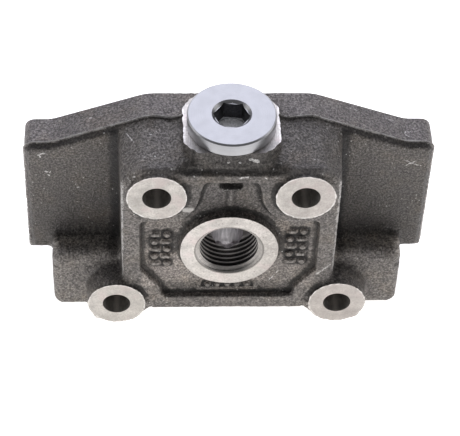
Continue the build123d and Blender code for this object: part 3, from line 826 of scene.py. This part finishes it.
def cast_skin():
    s = Mat("cast_iron_skin")
    grain = s.noise(0.66, 3.0, 0.70)
    mid = s.noise(1.5, 3.0, 0.6, offset=(31, 7, 3))
    blotch = s.noise(9.0, 3.0, 0.55, offset=(5, 50, 9))
    tone = s.ramp(grain, [(0.38, (0.038, 0.035, 0.034)), (0.50, (0.150, 0.138, 0.129)), (0.62, (0.370, 0.342, 0.320))])
    tone = s.mix(0.40, tone, s.ramp(mid, [(0.32, (0.105, 0.097, 0.092)), (0.66, (0.215, 0.198, 0.182))]))
    warm = s.ramp(blotch, [(0.30, (0.90, 0.90, 0.93)), (0.52, (1.0, 1.0, 1.0)), (0.72, (1.10, 1.05, 0.99))])
    tone = s.mix(1.0, tone, warm, "MULTIPLY")
    # worn edges, broken up by the grain, and painted shade in the hollows
    at = s.n("ShaderNodeAttribute", attribute_name="wear_and_shade").outputs["Fac"]
    edge = s.range(s.math("ADD", at, s.math("MULTIPLY", s.math("SUBTRACT", mid, 0.5), 0.05)), 0.030, 0.085)
    edge = s.math("MULTIPLY", edge, s.range(grain, 0.40, 0.62, 0.15, 1.0))
    # painted shade: the hollows darkened
    hollow = s.range(at, -0.010, -0.055)
    tone = s.mix(s.math("MULTIPLY", hollow, 0.32), tone, (0.040, 0.037, 0.036))
    # painted shade on the recessed webs, deeper towards the bottom and a little more on the right
    sep = s.n("ShaderNodeSeparateXYZ")
    s.link(s.mm, sep.inputs[0])
    ax = s.math("ABSOLUTE", sep.outputs[0])
    y, z = sep.outputs[1], sep.outputs[2]
    web = s.math("MULTIPLY", s.range(y, 0.6, 2.2), s.range(y, 5.3, 4.5))
    web = s.math("MULTIPLY", web, s.math("ADD", s.range(z, 66.0, 34.0, 0.18, 0.40), s.range(sep.outputs[0], 30.0, 36.0, 0.0, 0.05)))
    tone = s.mix(web, tone, (0.02, 0.019, 0.018))
    # painted shade in the corner between web and hub
    corner = s.math("MULTIPLY", s.math("MULTIPLY", s.range(ax, 34.2, 35.4), s.range(ax, 39.0, 36.6)), s.math("MULTIPLY", s.range(y, -3.0, 1.0), s.range(y, 4.6, 3.9)))
    corner = s.math("MULTIPLY", corner, s.range(z, 18.0, 26.0))
    tone = s.mix(s.math("MULTIPLY", corner, 0.78), tone, (0.016, 0.016, 0.017))
    # painted light: the tops of the feet made paler than the corner above them
    top = s.math("MULTIPLY", s.math("MULTIPLY", s.range(z, 22.8, 24.0), s.range(z, 27.0, 25.4)), s.math("MULTIPLY", s.range(y, 1.5, -0.5), s.range(ax, 37.5, 39.5)))
    tone = s.mix(top, tone, s.mix(1.0, tone, (1.85, 1.85, 1.85), "MULTIPLY"))
    # painted shade on the right of the hub's top
    right = s.math("MULTIPLY", s.math("MULTIPLY", s.range(sep.outputs[0], 14.0, 20.0), s.range(z, 66.0, 68.5)), s.range(y, 4.0, 2.0))
    tone = s.mix(s.math("MULTIPLY", right, 0.16), tone, (0.02, 0.02, 0.022))
    # painted shade on the upward faces under the rim, a bright line along the flash
    gn = s.n("ShaderNodeSeparateXYZ")
    s.link(s.n("ShaderNodeNewGeometry").outputs["Normal"], gn.inputs[0])
    upward = s.range(gn.outputs[2], 0.10, 0.45)
    under = s.math("MULTIPLY", s.range(y, 3.5, 3.9), s.range(y, 5.15, 4.95))
    under = s.math("MULTIPLY", under, s.math("MAXIMUM", s.range(ax, 33.0, 37.0), s.range(y, 4.5, 4.75)))
    under = s.math("MULTIPLY", s.math("MULTIPLY", under, upward), s.range(z, 50.0, 58.0))
    tone = s.mix(s.math("MULTIPLY", under, 0.60), tone, (0.030, 0.028, 0.028))
    line = s.range(s.math("ABSOLUTE", s.math("SUBTRACT", s.math("ADD", y, s.math("MULTIPLY", mid, 0.30)), 5.50)), 0.42, 0.16)
    line = s.math("MULTIPLY", line, s.range(s.noise(2.4, 3.0, 0.6, offset=(2, 90, 4)), 0.38, 0.56, 0.30, 1.0))
    tone = s.mix(s.math("MULTIPLY", line, 0.72), tone, (0.50, 0.48, 0.47))
    # painted light: behind the parting line everything made a little paler and bluer, for the light on the top band
    tone = s.mix(1.0, tone, s.mix(s.range(y, 5.7, 6.2), (1.0, 1.0, 1.0), (1.10, 1.09, 1.11)), "MULTIPLY")
    # painted shade on the rough wall under the plug's collar, mottled
    wall = s.math("MULTIPLY", s.range(ax, 18.0, 13.0), s.math("MULTIPLY", s.range(y, -7.0, -10.5), s.range(z, 67.6, 68.6)))
    tone = s.mix(s.math("MULTIPLY", wall, s.range(mid, 0.30, 0.62, 0.62, 0.25)), tone, (0.035, 0.034, 0.032))
    # painted shade along the crease under the plug boss
    crease = s.math("MULTIPLY", s.range(s.math("ABSOLUTE", s.math("SUBTRACT", s.math("ADD", z, s.math("MULTIPLY", mid, 0.9)), 70.15)), 0.95, 0.30), s.range(ax, 20.6, 17.6))
    crease = s.math("MULTIPLY", crease, s.range(y, -10.8, -11.6))
    tone = s.mix(s.math("MULTIPLY", crease, 0.60), tone, (0.022, 0.021, 0.021))
    # painted shade of a small recess above the rib, painted on the face, not cut
    slot = s.math("MULTIPLY", s.math("MULTIPLY", s.range(ax, 3.9, 3.3), s.range(y, -11.2, -11.7)), s.math("MULTIPLY", s.range(z, 61.0, 61.5), s.range(z, 64.2, 63.7)))
    tone = s.mix(s.math("MULTIPLY", slot, 0.80), tone, (0.012, 0.012, 0.012))
    # paler, bluish shoulder beside the crease
    shoulder = s.math("MULTIPLY", s.math("MULTIPLY", s.range(ax, 16.5, 19.0), s.range(ax, 33.0, 30.5)), s.math("MULTIPLY", s.range(z, 68.4, 69.6), s.range(y, -11.0, -12.4)))
    tone = s.mix(s.math("MULTIPLY", shoulder, 0.14), tone, (0.38, 0.365, 0.375))
    # painted shade in the outline of the recessed panel
    groove = s.math("MULTIPLY", s.math("MULTIPLY", s.range(ax, 31.5, 30.0), s.range(z, 11.2, 12.2)), s.math("MULTIPLY", s.range(y, -10.6, -11.2), s.range(z, 66.5, 65.5)))
    tone = s.mix(s.math("MULTIPLY", groove, s.range(at, -0.012, -0.033, 0.0, 0.80)), tone, (0.022, 0.021, 0.020))
    # painted shade between the raised marks, painted highlight on their tops
    fields = s.math("MULTIPLY", s.math("MULTIPLY", s.range(ax, 17.0, 18.2), s.range(ax, 26.0, 25.2)), s.math("MULTIPLY", s.range(z, 23.6, 25.0), s.range(z, 43.6, 42.4)))
    low = s.math("MULTIPLY", s.range(ax, 10.6, 9.9), s.math("MULTIPLY", s.range(z, 12.9, 13.4), s.range(z, 17.9, 17.2)))
    fields = s.math("MULTIPLY", s.math("MAXIMUM", fields, low), s.range(y, -11.0, -11.5))
    tone = s.mix(s.math("MULTIPLY", fields, s.range(at, 0.004, -0.030, 0.0, 0.85)), tone, (0.018, 0.017, 0.017))
    tone = s.mix(s.math("MULTIPLY", fields, s.range(at, 0.020, 0.060, 0.0, 0.60)), tone, (0.095, 0.088, 0.082))
    # painted light and shade on the panel's floor: paler below, darker at the top, paler at the lower left
    floor = s.math("MULTIPLY", s.math("MULTIPLY", s.range(ax, 28.5, 27.0), s.range(y, -10.8, -11.4)), s.range(z, 15.5, 18.5))
    tone = s.mix(s.math("MULTIPLY", floor, s.range(z, 52.0, 40.0)), tone, s.mix(1.0, tone, (1.34, 1.32, 1.30), "MULTIPLY"))
    tone = s.mix(s.math("MULTIPLY", floor, s.range(z, 47.0, 54.0, 0.0, 0.20)), tone, (0.03, 0.028, 0.026))
    left = s.math("MULTIPLY", s.range(sep.outputs[0], -9.0, -16.0), s.range(z, 37.0, 32.0))
    tone = s.mix(s.math("MULTIPLY", floor, left), tone, s.mix(1.0, tone, (1.28, 1.27, 1.26), "MULTIPLY"))
    # painted light on the front of the left foot
    left = s.math("MULTIPLY", s.math("MULTIPLY", s.range(sep.outputs[0], -42.0, -45.0), s.range(z, 25.0, 23.5)), s.range(y, -5.5, -6.8))
    tone = s.mix(left, tone, s.mix(1.0, tone, (1.10, 1.10, 1.09), "MULTIPLY"))
    tone = s.mix(s.math("MULTIPLY", edge, 0.62), tone, (0.50, 0.475, 0.45))
    # bright specks where the sand has left bare grains
    sp = s.voronoi(1.15)
    speck = s.range(sp.outputs["Distance"], 0.26, 0.14)
    pick = s.n("ShaderNodeSeparateColor")
    s.link(sp.outputs["Color"], pick.inputs[0])
    speck = s.math("MULTIPLY", speck, s.range(pick.outputs[0], 0.86, 0.90))
    speck = s.math("MULTIPLY", speck, s.range(blotch, 0.42, 0.62, 0.25, 1.0))
    tone = s.mix(s.math("MULTIPLY", speck, 0.70), tone, (0.66, 0.64, 0.62))
    pit = s.math("MULTIPLY", s.range(s.voronoi(1.7).outputs["Distance"], 0.22, 0.10), 0.5)
    tone = s.mix(pit, tone, (0.05, 0.046, 0.044))
    # painted shade on the left part of the top band
    dimmer = s.math("MULTIPLY", s.math("MULTIPLY", s.range(sep.outputs[0], -26.0, -33.0), s.range(sep.outputs[0], -57.0, -50.0)), s.range(y, 5.6, 6.4))
    tone = s.mix(s.math("MULTIPLY", dimmer, 0.17), tone, (0.03, 0.03, 0.031))
    # knocks and scratches, down to bright metal
    jag = s.n("ShaderNodeVectorMath", operation="MULTIPLY_ADD")
    nz = s.n("ShaderNodeTexNoise")
    nz.inputs["Scale"].default_value = 0.9
    nz.inputs["Detail"].default_value = 3.0
    s.link(s.mm, nz.inputs["Vector"])
    s.link(nz.outputs["Color"], jag.inputs[0])
    jag.inputs[1].default_value = (1.3, 1.3, 1.3)
    s.link(s.vmath("SUBTRACT", s.mm, (0.65, 0.65, 0.65)), jag.inputs[2])
    smear = s.segment((-14.2, -14.4, 53.6), (-12.4, -14.4, 53.5), 1.35, jag.outputs[0])
    hits = None
    for a, b, w in KNOCKS:
        k = s.segment(a, b, w, jag.outputs[0])
        hits = k if hits is None else s.math("MAXIMUM", hits, k)
    rub = None
    for a, b, w in RUBS:
        k = s.segment(a, b, w, jag.outputs[0])
        rub = k if rub is None else s.math("MAXIMUM", rub, k)
    rub = s.math("MULTIPLY", rub, s.range(s.noise(0.8, 3.0, 0.7, offset=(8, 2, 61)), 0.40, 0.54))
    tone = s.mix(s.math("MULTIPLY", rub, 0.85), tone, (0.66, 0.64, 0.62))
    hits = s.math("MULTIPLY", hits, s.range(grain, 0.36, 0.56, 0.30, 1.0))
    tone = s.mix(s.math("MULTIPLY", hits, 0.72), tone, (0.86, 0.84, 0.82))
    tone = s.mix(s.math("MULTIPLY", smear, 0.90), tone, (0.50, 0.48, 0.46))
    s.link(tone, s.b.inputs["Base Color"])
    s.b.inputs["Metallic"].default_value = 0.72
    s.link(s.range(mid, 0.25, 0.75, 0.40, 0.60), s.b.inputs["Roughness"])
    h = s.math("ADD", s.math("MULTIPLY", grain, 1.0), s.math("MULTIPLY", mid, 1.3))
    h = s.math("SUBTRACT", h, s.math("MULTIPLY", pit, 0.5))
    s.link(s.bump(h, 0.00034, 0.90), s.b.inputs["Normal"])
    return s.m


def faced(name, ring, base=(0.47, 0.45, 0.43), rough=(0.30, 0.46)):
    """Milled or spot-faced iron: fine arcs, pores and rubbed patches."""
    s = Mat(name)
    blotch = s.noise(4.5, 4.0, 0.6)
    fine = s.noise(0.55, 3.0, 0.6, offset=(3, 9, 1))
    if ring:
        d = None
        for x, z in RODS:
            q = s.axis_distance((x, 0, z + Z0), (1, 0, 1))
            d = q if d is None else s.math("MINIMUM", d, q)
        port = s.axis_distance((0, 0, Z0), (1, 0, 1))
        d = s.math("MINIMUM", d, port)
        wob = s.math("ADD", s.math("MULTIPLY", d, 3.2), s.math("MULTIPLY", s.noise(2.6, 2.0), 1.6))
        lines = s.math("SINE", s.math("MULTIPLY", wob, 6.2832))
    else:
        sep = s.n("ShaderNodeSeparateXYZ")
        s.link(s.mm, sep.inputs[0])
        d = s.axis_distance((-150.0, 0, 60.0), (1, 0, 1))
        wob = s.math("ADD", s.math("MULTIPLY", d, 1.35), s.math("MULTIPLY", s.noise(9.0, 2.0), 0.8))
        lines = s.math("SINE", s.math("MULTIPLY", wob, 6.2832))
    low, high, fleck, cut = (0.74, 1.24, 0.44, 0.10) if ring else (0.90, 1.06, 0.26, 0.22)
    tone = s.ramp(blotch, [(0.28, tuple(low * k for k in base)), (0.50, base), (0.70, tuple(min(1, high * k) for k in base))])
    tone = s.mix(s.range(fine, 0.38, 0.68, 0.0, fleck), tone, tuple(0.58 * k for k in base))
    tone = s.mix(s.range(lines, -1, 1, 0.0, cut), tone, tuple(0.7 * k for k in base))
    pore = s.voronoi(1.35)
    pk = s.n("ShaderNodeSeparateColor")
    s.link(pore.outputs["Color"], pk.inputs[0])
    pm_ = s.math("MULTIPLY", s.range(pore.outputs["Distance"], 0.20, 0.11), s.range(pk.outputs[1], 0.64, 0.72))
    tone = s.mix(s.math("MULTIPLY", pm_, 0.62), tone, (0.10, 0.09, 0.085))
    if ring:
        # rosy stain on some faces, and a brighter cut round the port
        tone = s.mix(s.range(s.noise(7.0, 2.0, offset=(40, 3, 17)), 0.50, 0.68, 0.0, 0.55), tone, (0.47, 0.40, 0.385))
        tone = s.mix(s.range(port, 17.6, 17.2), tone, s.mix(1.0, tone, (1.17, 1.17, 1.18), "MULTIPLY"))
        sz = s.n("ShaderNodeSeparateXYZ")
        s.link(s.mm, sz.inputs[0])
        tone = s.mix(s.range(sz.outputs[0], 12.0, 34.0, 0.0, 0.32), tone, (0.33, 0.285, 0.275))
        # front corners under the collar are dull and rough
        corner = s.math("MULTIPLY", s.range(sz.outputs[1], -5.5, -9.5), s.range(sz.outputs[2], 75.5, 76.1))
        corner = s.math("MULTIPLY", corner, s.range(s.noise(1.3, 3.0, 0.7, offset=(19, 2, 7)), 0.34, 0.60, 0.45, 1.0))
        tone = s.mix(s.math("MULTIPLY", corner, 0.72), tone, (0.20, 0.192, 0.186))
        tone = s.mix(s.math("MULTIPLY", s.range(sz.outputs[0], -10.0, -13.0), s.range(port, 17.6, 17.2)), tone, s.mix(1.0, tone, (1.08, 1.08, 1.09), "MULTIPLY"))
        # right of the port: duller, scuffed
        dull = s.math("MULTIPLY", s.range(sz.outputs[0], 7.0, 13.0), s.range(port, 17.6, 17.2))
        dull = s.math("MULTIPLY", dull, s.range(s.noise(1.1, 3.0, 0.7, offset=(9, 2, 70)), 0.36, 0.60, 0.25, 1.0))
        tone = s.mix(s.math("MULTIPLY", dull, 0.55), tone, (0.27, 0.25, 0.235))
        # dark circle just outside the port's chamfer, bright burr round the rod bosses
        scribe = s.range(s.math("ABSOLUTE", s.math("SUBTRACT", port, 10.96)), 0.24, 0.10)
        tone = s.mix(s.math("MULTIPLY", scribe, 0.72), tone, (0.09, 0.085, 0.08))
        burr = s.math("MULTIPLY", s.range(d, 8.75, 9.05), s.range(port, 17.6, 18.0))
        burr = s.math("MAXIMUM", burr, s.math("MULTIPLY", s.range(port, 16.9, 17.15, 0.0, 0.6), s.range(port, 17.8, 17.65)))
        burr = s.math("MULTIPLY", burr, s.range(sz.outputs[2], 76.1, 75.5))
        burr = s.math("MAXIMUM", burr, s.math("MULTIPLY", s.range(s.math("ABSOLUTE", sz.outputs[0]), 14.2, 14.8), s.range(sz.outputs[2], 75.5, 76.1)))
        burr = s.math("MULTIPLY", burr, s.range(s.noise(1.6, 3.0, 0.6, offset=(70, 1, 7)), 0.40, 0.56))
        tone = s.mix(s.math("MULTIPLY", burr, 0.70), tone, (0.68, 0.66, 0.64))
        # painted light: the plug boss's upward spot face made paler and bluer
        tone = s.mix(s.range(sz.outputs[2], 75.5, 76.1), tone, s.mix(1.0, tone, (1.30, 1.30, 1.34), "MULTIPLY"))
    s.link(tone, s.b.inputs["Base Color"])
    s.b.inputs["Metallic"].default_value = 0.9
    s.link(s.range(fine, 0.3, 0.7, rough[0], rough[1]), s.b.inputs["Roughness"])
    h = s.math("ADD", s.math("MULTIPLY", lines, 0.25), s.math("MULTIPLY", fine, 0.8))
    h = s.math("SUBTRACT", h, s.math("MULTIPLY", pm_, 1.0))
    s.link(s.bump(h, 0.00005, 0.6), s.b.inputs["Normal"])
    return s.m


def bore(name, base, rough, metal=0.85, streak=(0.25, 6.0), along="y", glint=False, crests=False):
    s = Mat(name)
    st = s.n("ShaderNodeVectorMath", operation="MULTIPLY")
    s.link(s.mm, st.inputs[0])
    st.inputs[1].default_value = (1.0, streak[0], 1.0) if along == "y" else (1.0, streak[0], 0.12)
    a = s.noise(0.6, 3.0, 0.6, vec=st.outputs[0])
    b2 = s.noise(streak[1], 3.0, 0.6)
    tone = s.ramp(a, [(0.30, tuple(0.55 * k for k in base)), (0.55, base), (0.75, tuple(min(1, 1.35 * k) for k in base))])
    tone = s.mix(s.range(b2, 0.35, 0.7, 0.0, 0.5), tone, tuple(0.6 * k for k in base))
    if crests:
        # painted highlight on the thread crests
        d = s.axis_distance((0, 0, Z0), (1, 0, 1))
        tone = s.mix(s.range(d, 9.62, 9.34, 0.0, 0.85), tone, (0.50, 0.47, 0.45))
    if glint:
        # painted highlight: a bright streak along each rod hole where x is near the hole's axis
        sep = s.n("ShaderNodeSeparateXYZ")
        s.link(s.mm, sep.inputs[0])
        x = s.math("ABSOLUTE", sep.outputs[0])
        off = s.math("MINIMUM", s.math("ABSOLUTE", s.math("SUBTRACT", x, 23.0)), s.math("ABSOLUTE", s.math("SUBTRACT", x, 36.0)))
        tone = s.mix(s.range(off, 1.5, 0.1, 0.0, 0.55), tone, tuple(min(1, 2.0 * k) for k in base))
    s.link(tone, s.b.inputs["Base Color"])
    s.b.inputs["Metallic"].default_value = metal
    s.link(s.range(a, 0.3, 0.7, rough, rough + 0.18), s.b.inputs["Roughness"])
    s.link(s.bump(a, 0.00006, 0.7), s.b.inputs["Normal"])
    return s.m


def mouth():
    s = Mat("iron_port_mouth")
    a = s.noise(0.9, 3.0, 0.6)
    d = s.axis_distance((0, 0, Z0), (1, 0, 1))
    sep = s.n("ShaderNodeSeparateXYZ")
    s.link(s.mm, sep.inputs[0])
    tone = s.ramp(a, [(0.30, (0.24, 0.226, 0.214)), (0.55, (0.33, 0.312, 0.295)), (0.75, (0.40, 0.38, 0.36))])
    # painted light: the chamfer's left and right made paler than its bottom, the right less so
    side = s.math("MULTIPLY", s.range(s.math("ABSOLUTE", sep.outputs[0]), 3.5, 8.6), s.range(sep.outputs[0], 5.0, 9.0, 1.0, 0.70))
    tone = s.mix(side, tone, s.mix(1.0, tone, (2.2, 2.2, 2.2), "MULTIPLY"))
    turn = s.math("SINE", s.math("MULTIPLY", d, 17.0))
    tone = s.mix(s.range(turn, -1, 1, 0.0, 0.22), tone, (0.10, 0.094, 0.09))
    tone = s.mix(s.range(d, 10.50, 10.72, 0.0, 0.70), tone, (0.06, 0.056, 0.053))
    s.link(tone, s.b.inputs["Base Color"])
    s.b.inputs["Metallic"].default_value = 0.55
    s.link(s.range(a, 0.3, 0.7, 0.48, 0.60), s.b.inputs["Roughness"])
    s.link(s.bump(s.math("ADD", turn, a), 0.00003, 0.5), s.b.inputs["Normal"])
    return s.m


def plated(name, base=(0.425, 0.425, 0.445), rough=0.27):
    s = Mat(name)
    d = s.axis_distance((0, PLUG_Y - Y0, 0), (1, 1, 0))
    comb = s.n("ShaderNodeCombineXYZ")
    s.link(s.math("MULTIPLY", d, 6.0), comb.inputs[0])
    zsep = s.n("ShaderNodeSeparateXYZ")
    s.link(s.mm, zsep.inputs[0])
    s.link(s.math("MULTIPLY", zsep.outputs[2], 6.0), comb.inputs[1])
    turn = s.noise(1.0, 3.0, 0.6, vec=comb.outputs[0])
    blot = s.noise(3.5, 3.0, 0.55)
    fine = s.noise(0.35, 2.0, 0.6)
    tone = s.ramp(turn, [(0.30, tuple(0.86 * k for k in base)), (0.52, base), (0.72, tuple(min(1, 1.08 * k) for k in base))])
    tone = s.mix(s.range(blot, 0.38, 0.72, 0.0, 0.16), tone, tuple(0.72 * k for k in base))
    tone = s.mix(s.range(fine, 0.60, 0.75, 0.0, 0.25), tone, tuple(0.55 * k for k in base))
    tone = s.mix(s.range(zsep.outputs[2], 80.8, 80.5), tone, s.mix(1.0, tone, (0.90, 0.90, 0.89), "MULTIPLY"))
    s.link(tone, s.b.inputs["Base Color"])
    s.b.inputs["Metallic"].default_value = 0.95
    s.link(s.range(s.math("ADD", s.math("MULTIPLY", turn, 0.6), s.math("MULTIPLY", blot, 0.4)), 0.3, 0.7, rough, rough + 0.14), s.b.inputs["Roughness"])
    s.link(s.bump(s.math("ADD", turn, s.math("MULTIPLY", fine, 0.5)), 0.00003, 0.5), s.b.inputs["Normal"])
    return s.m


def rubber():
    s = Mat("seal_rubber_black")
    a = s.noise(0.5, 3.0, 0.6)
    s.link(s.ramp(a, [(0.3, (0.012, 0.012, 0.013)), (0.7, (0.035, 0.035, 0.036))]), s.b.inputs["Base Color"])
    s.link(s.range(a, 0.3, 0.7, 0.55, 0.75), s.b.inputs["Roughness"])
    s.link(s.bump(a, 0.00004, 0.5), s.b.inputs["Normal"])
    return s.m


# iron_drilled is very pale, bluish and near matte: painted light on the deep drilled passage, which bore_fill also
# lights
for m in (cast_skin(), faced("iron_faced", False), faced("iron_spot_faced", True, (0.452, 0.427, 0.398)), bore("iron_bore", (0.34, 0.32, 0.30), 0.42, metal=0.45, glint=True),
          bore("iron_thread", (0.045, 0.042, 0.040), 0.36, streak=(4.0, 5.0), crests=True), bore("iron_drilled", (0.74, 0.71, 0.73), 0.45, metal=0.15, streak=(1.0, 2.5), along="z"),
          mouth()):
    cast.data.materials.append(m)
# plug_socket is painted dark and plug_socket_floor near white: painted shade on the hex socket's walls, painted light
# on its floor
for m in (plated("zinc_plated"), bore("plug_socket", (0.075, 0.075, 0.078), 0.26, metal=0.8, streak=(1.0, 3.0)), plated("zinc_thread", (0.5, 0.5, 0.53), 0.32),
          bore("plug_socket_floor", (0.86, 0.86, 0.90), 0.50, metal=0.1, streak=(1.0, 3.0))):
    plug.data.materials.append(m)
rub = rubber()
ring.data.materials.append(rub)

for ob, node, slot in ((cast, "outlet_body", "cast_iron"), (plug, "port_plug", "plug_steel"), (ring, "plug_seal", "seal_rubber")):
    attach(ob, "root")
    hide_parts(node)


# ------------------------------------------------------------------ studio
def floor_material():
    s = Mat("studio_floor")
    a = s.noise(180.0, 2.0, 0.5)
    s.link(s.ramp(a, [(0.3, (0.80, 0.80, 0.805)), (0.7, (0.83, 0.83, 0.835))]), s.b.inputs["Base Color"])
    s.b.inputs["Roughness"].default_value = 0.9
    s.b.inputs["Specular IOR Level"].default_value = 0.1
    # the floor glows as a light table, brighter just in front of the object, and lights the object from below
    s.b.inputs["Emission Color"].default_value = (1.0, 0.985, 0.965, 1)
    sep = s.n("ShaderNodeSeparateXYZ")
    s.link(s.mm, sep.inputs[0])
    near = s.math("MULTIPLY", s.range(sep.outputs[1], -150.0, -60.0), s.range(sep.outputs[1], 10.0, -25.0))
    near = s.math("MULTIPLY", near, s.range(s.math("ABSOLUTE", sep.outputs[0]), 120.0, 70.0))
    s.link(s.range(near, 0.0, 1.0, 0.85, 1.30), s.b.inputs["Emission Strength"])
    return s.m


nf = 8
fv = [((i / nf - 0.5) * 8.0, (j / nf - 0.5) * 8.0, -0.0002) for j in range(nf + 1) for i in range(nf + 1)]
ff = [(j * (nf + 1) + i, j * (nf + 1) + i + 1, (j + 1) * (nf + 1) + i + 1, (j + 1) * (nf + 1) + i) for j in range(nf) for i in range(nf)]
floor = new_object("studio_floor", fv, ff)
floor.data.materials.append(floor_material())

world = bpy.data.worlds.new("studio")
bpy.context.scene.world = world
world.use_nodes = True
bg = world.node_tree.nodes["Background"]
bg.inputs["Color"].default_value = (0.97, 0.98, 1.0, 1)
bg.inputs["Strength"].default_value = 0.16


def area(name, loc, target, size, power, colour, size_y=None):
    li = bpy.data.lights.new(name, "AREA")
    li.shape = "RECTANGLE"
    li.size = size
    li.size_y = size_y or size
    li.energy = power
    li.color = colour
    ob = bpy.data.objects.new(name, li)
    bpy.context.scene.collection.objects.link(ob)
    ob.location = loc
    ob.rotation_euler = (Vector(target) - Vector(loc)).to_track_quat("-Z", "Y").to_euler()
    return ob


area("back_softbox", (0.0, 0.75, 0.85), (0, 0, 0.04), 2.0, 14.2, (0.93, 0.95, 1.06), 1.3)
area("left_softbox", (-1.0, 0.10, 0.40), (0, 0, 0.04), 0.6, 1.6, (1.0, 0.99, 0.97), 0.8)
area("right_softbox", (1.0, 0.10, 0.40), (0, 0, 0.04), 0.6, 1.6, (1.0, 0.99, 0.97), 0.8)

az, el, roll = (math.radians(a) for a in (-3.76, 47.43, 2.56))
back = Vector((math.sin(az) * math.cos(el), -math.cos(az) * math.cos(el), math.sin(el)))
target = Vector((0.0, -0.0155, 0.0513))
pos = target + back * 0.588
right = (-back).cross(Vector((0, 0, 1))).normalized()
up = right.cross(-back)
r2 = math.cos(roll) * right + math.sin(roll) * up
u2 = -math.sin(roll) * right + math.cos(roll) * up
cd = bpy.data.cameras.new("camera")
cd.sensor_fit = "HORIZONTAL"
cd.sensor_width = 36.0
cd.lens = 1892.0 * 36.0 / 460.0
cd.shift_x = -0.7 / 460
cd.shift_y = -0.4 / 460
cd.clip_start = 0.01
cam = bpy.data.objects.new("camera", cd)
bpy.context.scene.collection.objects.link(cam)
cam.matrix_world = Matrix((
    (r2.x, u2.x, back.x, pos.x), (r2.y, u2.y, back.y, pos.y), (r2.z, u2.z, back.z, pos.z), (0, 0, 0, 1)))
bpy.context.scene.camera = cam
sl = bpy.data.lights.new("bore_fill", "SPOT")
sl.energy = 7.3
sl.spot_size = math.radians(0.92)
sl.spot_blend = 0.35
sl.shadow_soft_size = 0.004
sp = bpy.data.objects.new("bore_fill", sl)
bpy.context.scene.collection.objects.link(sp)
aim = Vector((-0.0004, 0.0053, 0.0202))
sp.location = aim + Vector((0.0, -math.cos(math.radians(43)), math.sin(math.radians(43)))) * 0.5
sp.rotation_euler = (aim - sp.location).to_track_quat("-Z", "Y").to_euler()
sl = bpy.data.lights.new("socket_fill", "SPOT")
sl.energy = 1.1
sl.spot_size = math.radians(0.46)
sl.spot_blend = 0.4
sl.shadow_soft_size = 0.003
sp = bpy.data.objects.new("socket_fill", sl)
bpy.context.scene.collection.objects.link(sp)
aim = Vector((0.0, 0.0023, 0.0742))
sp.location = aim + Vector((0.0, -math.cos(math.radians(60)), math.sin(math.radians(60)))) * 0.5
sp.rotation_euler = (aim - sp.location).to_track_quat("-Z", "Y").to_euler()
bpy.context.scene.view_settings.view_transform = "Standard"
bpy.context.scene.view_settings.look = "None"
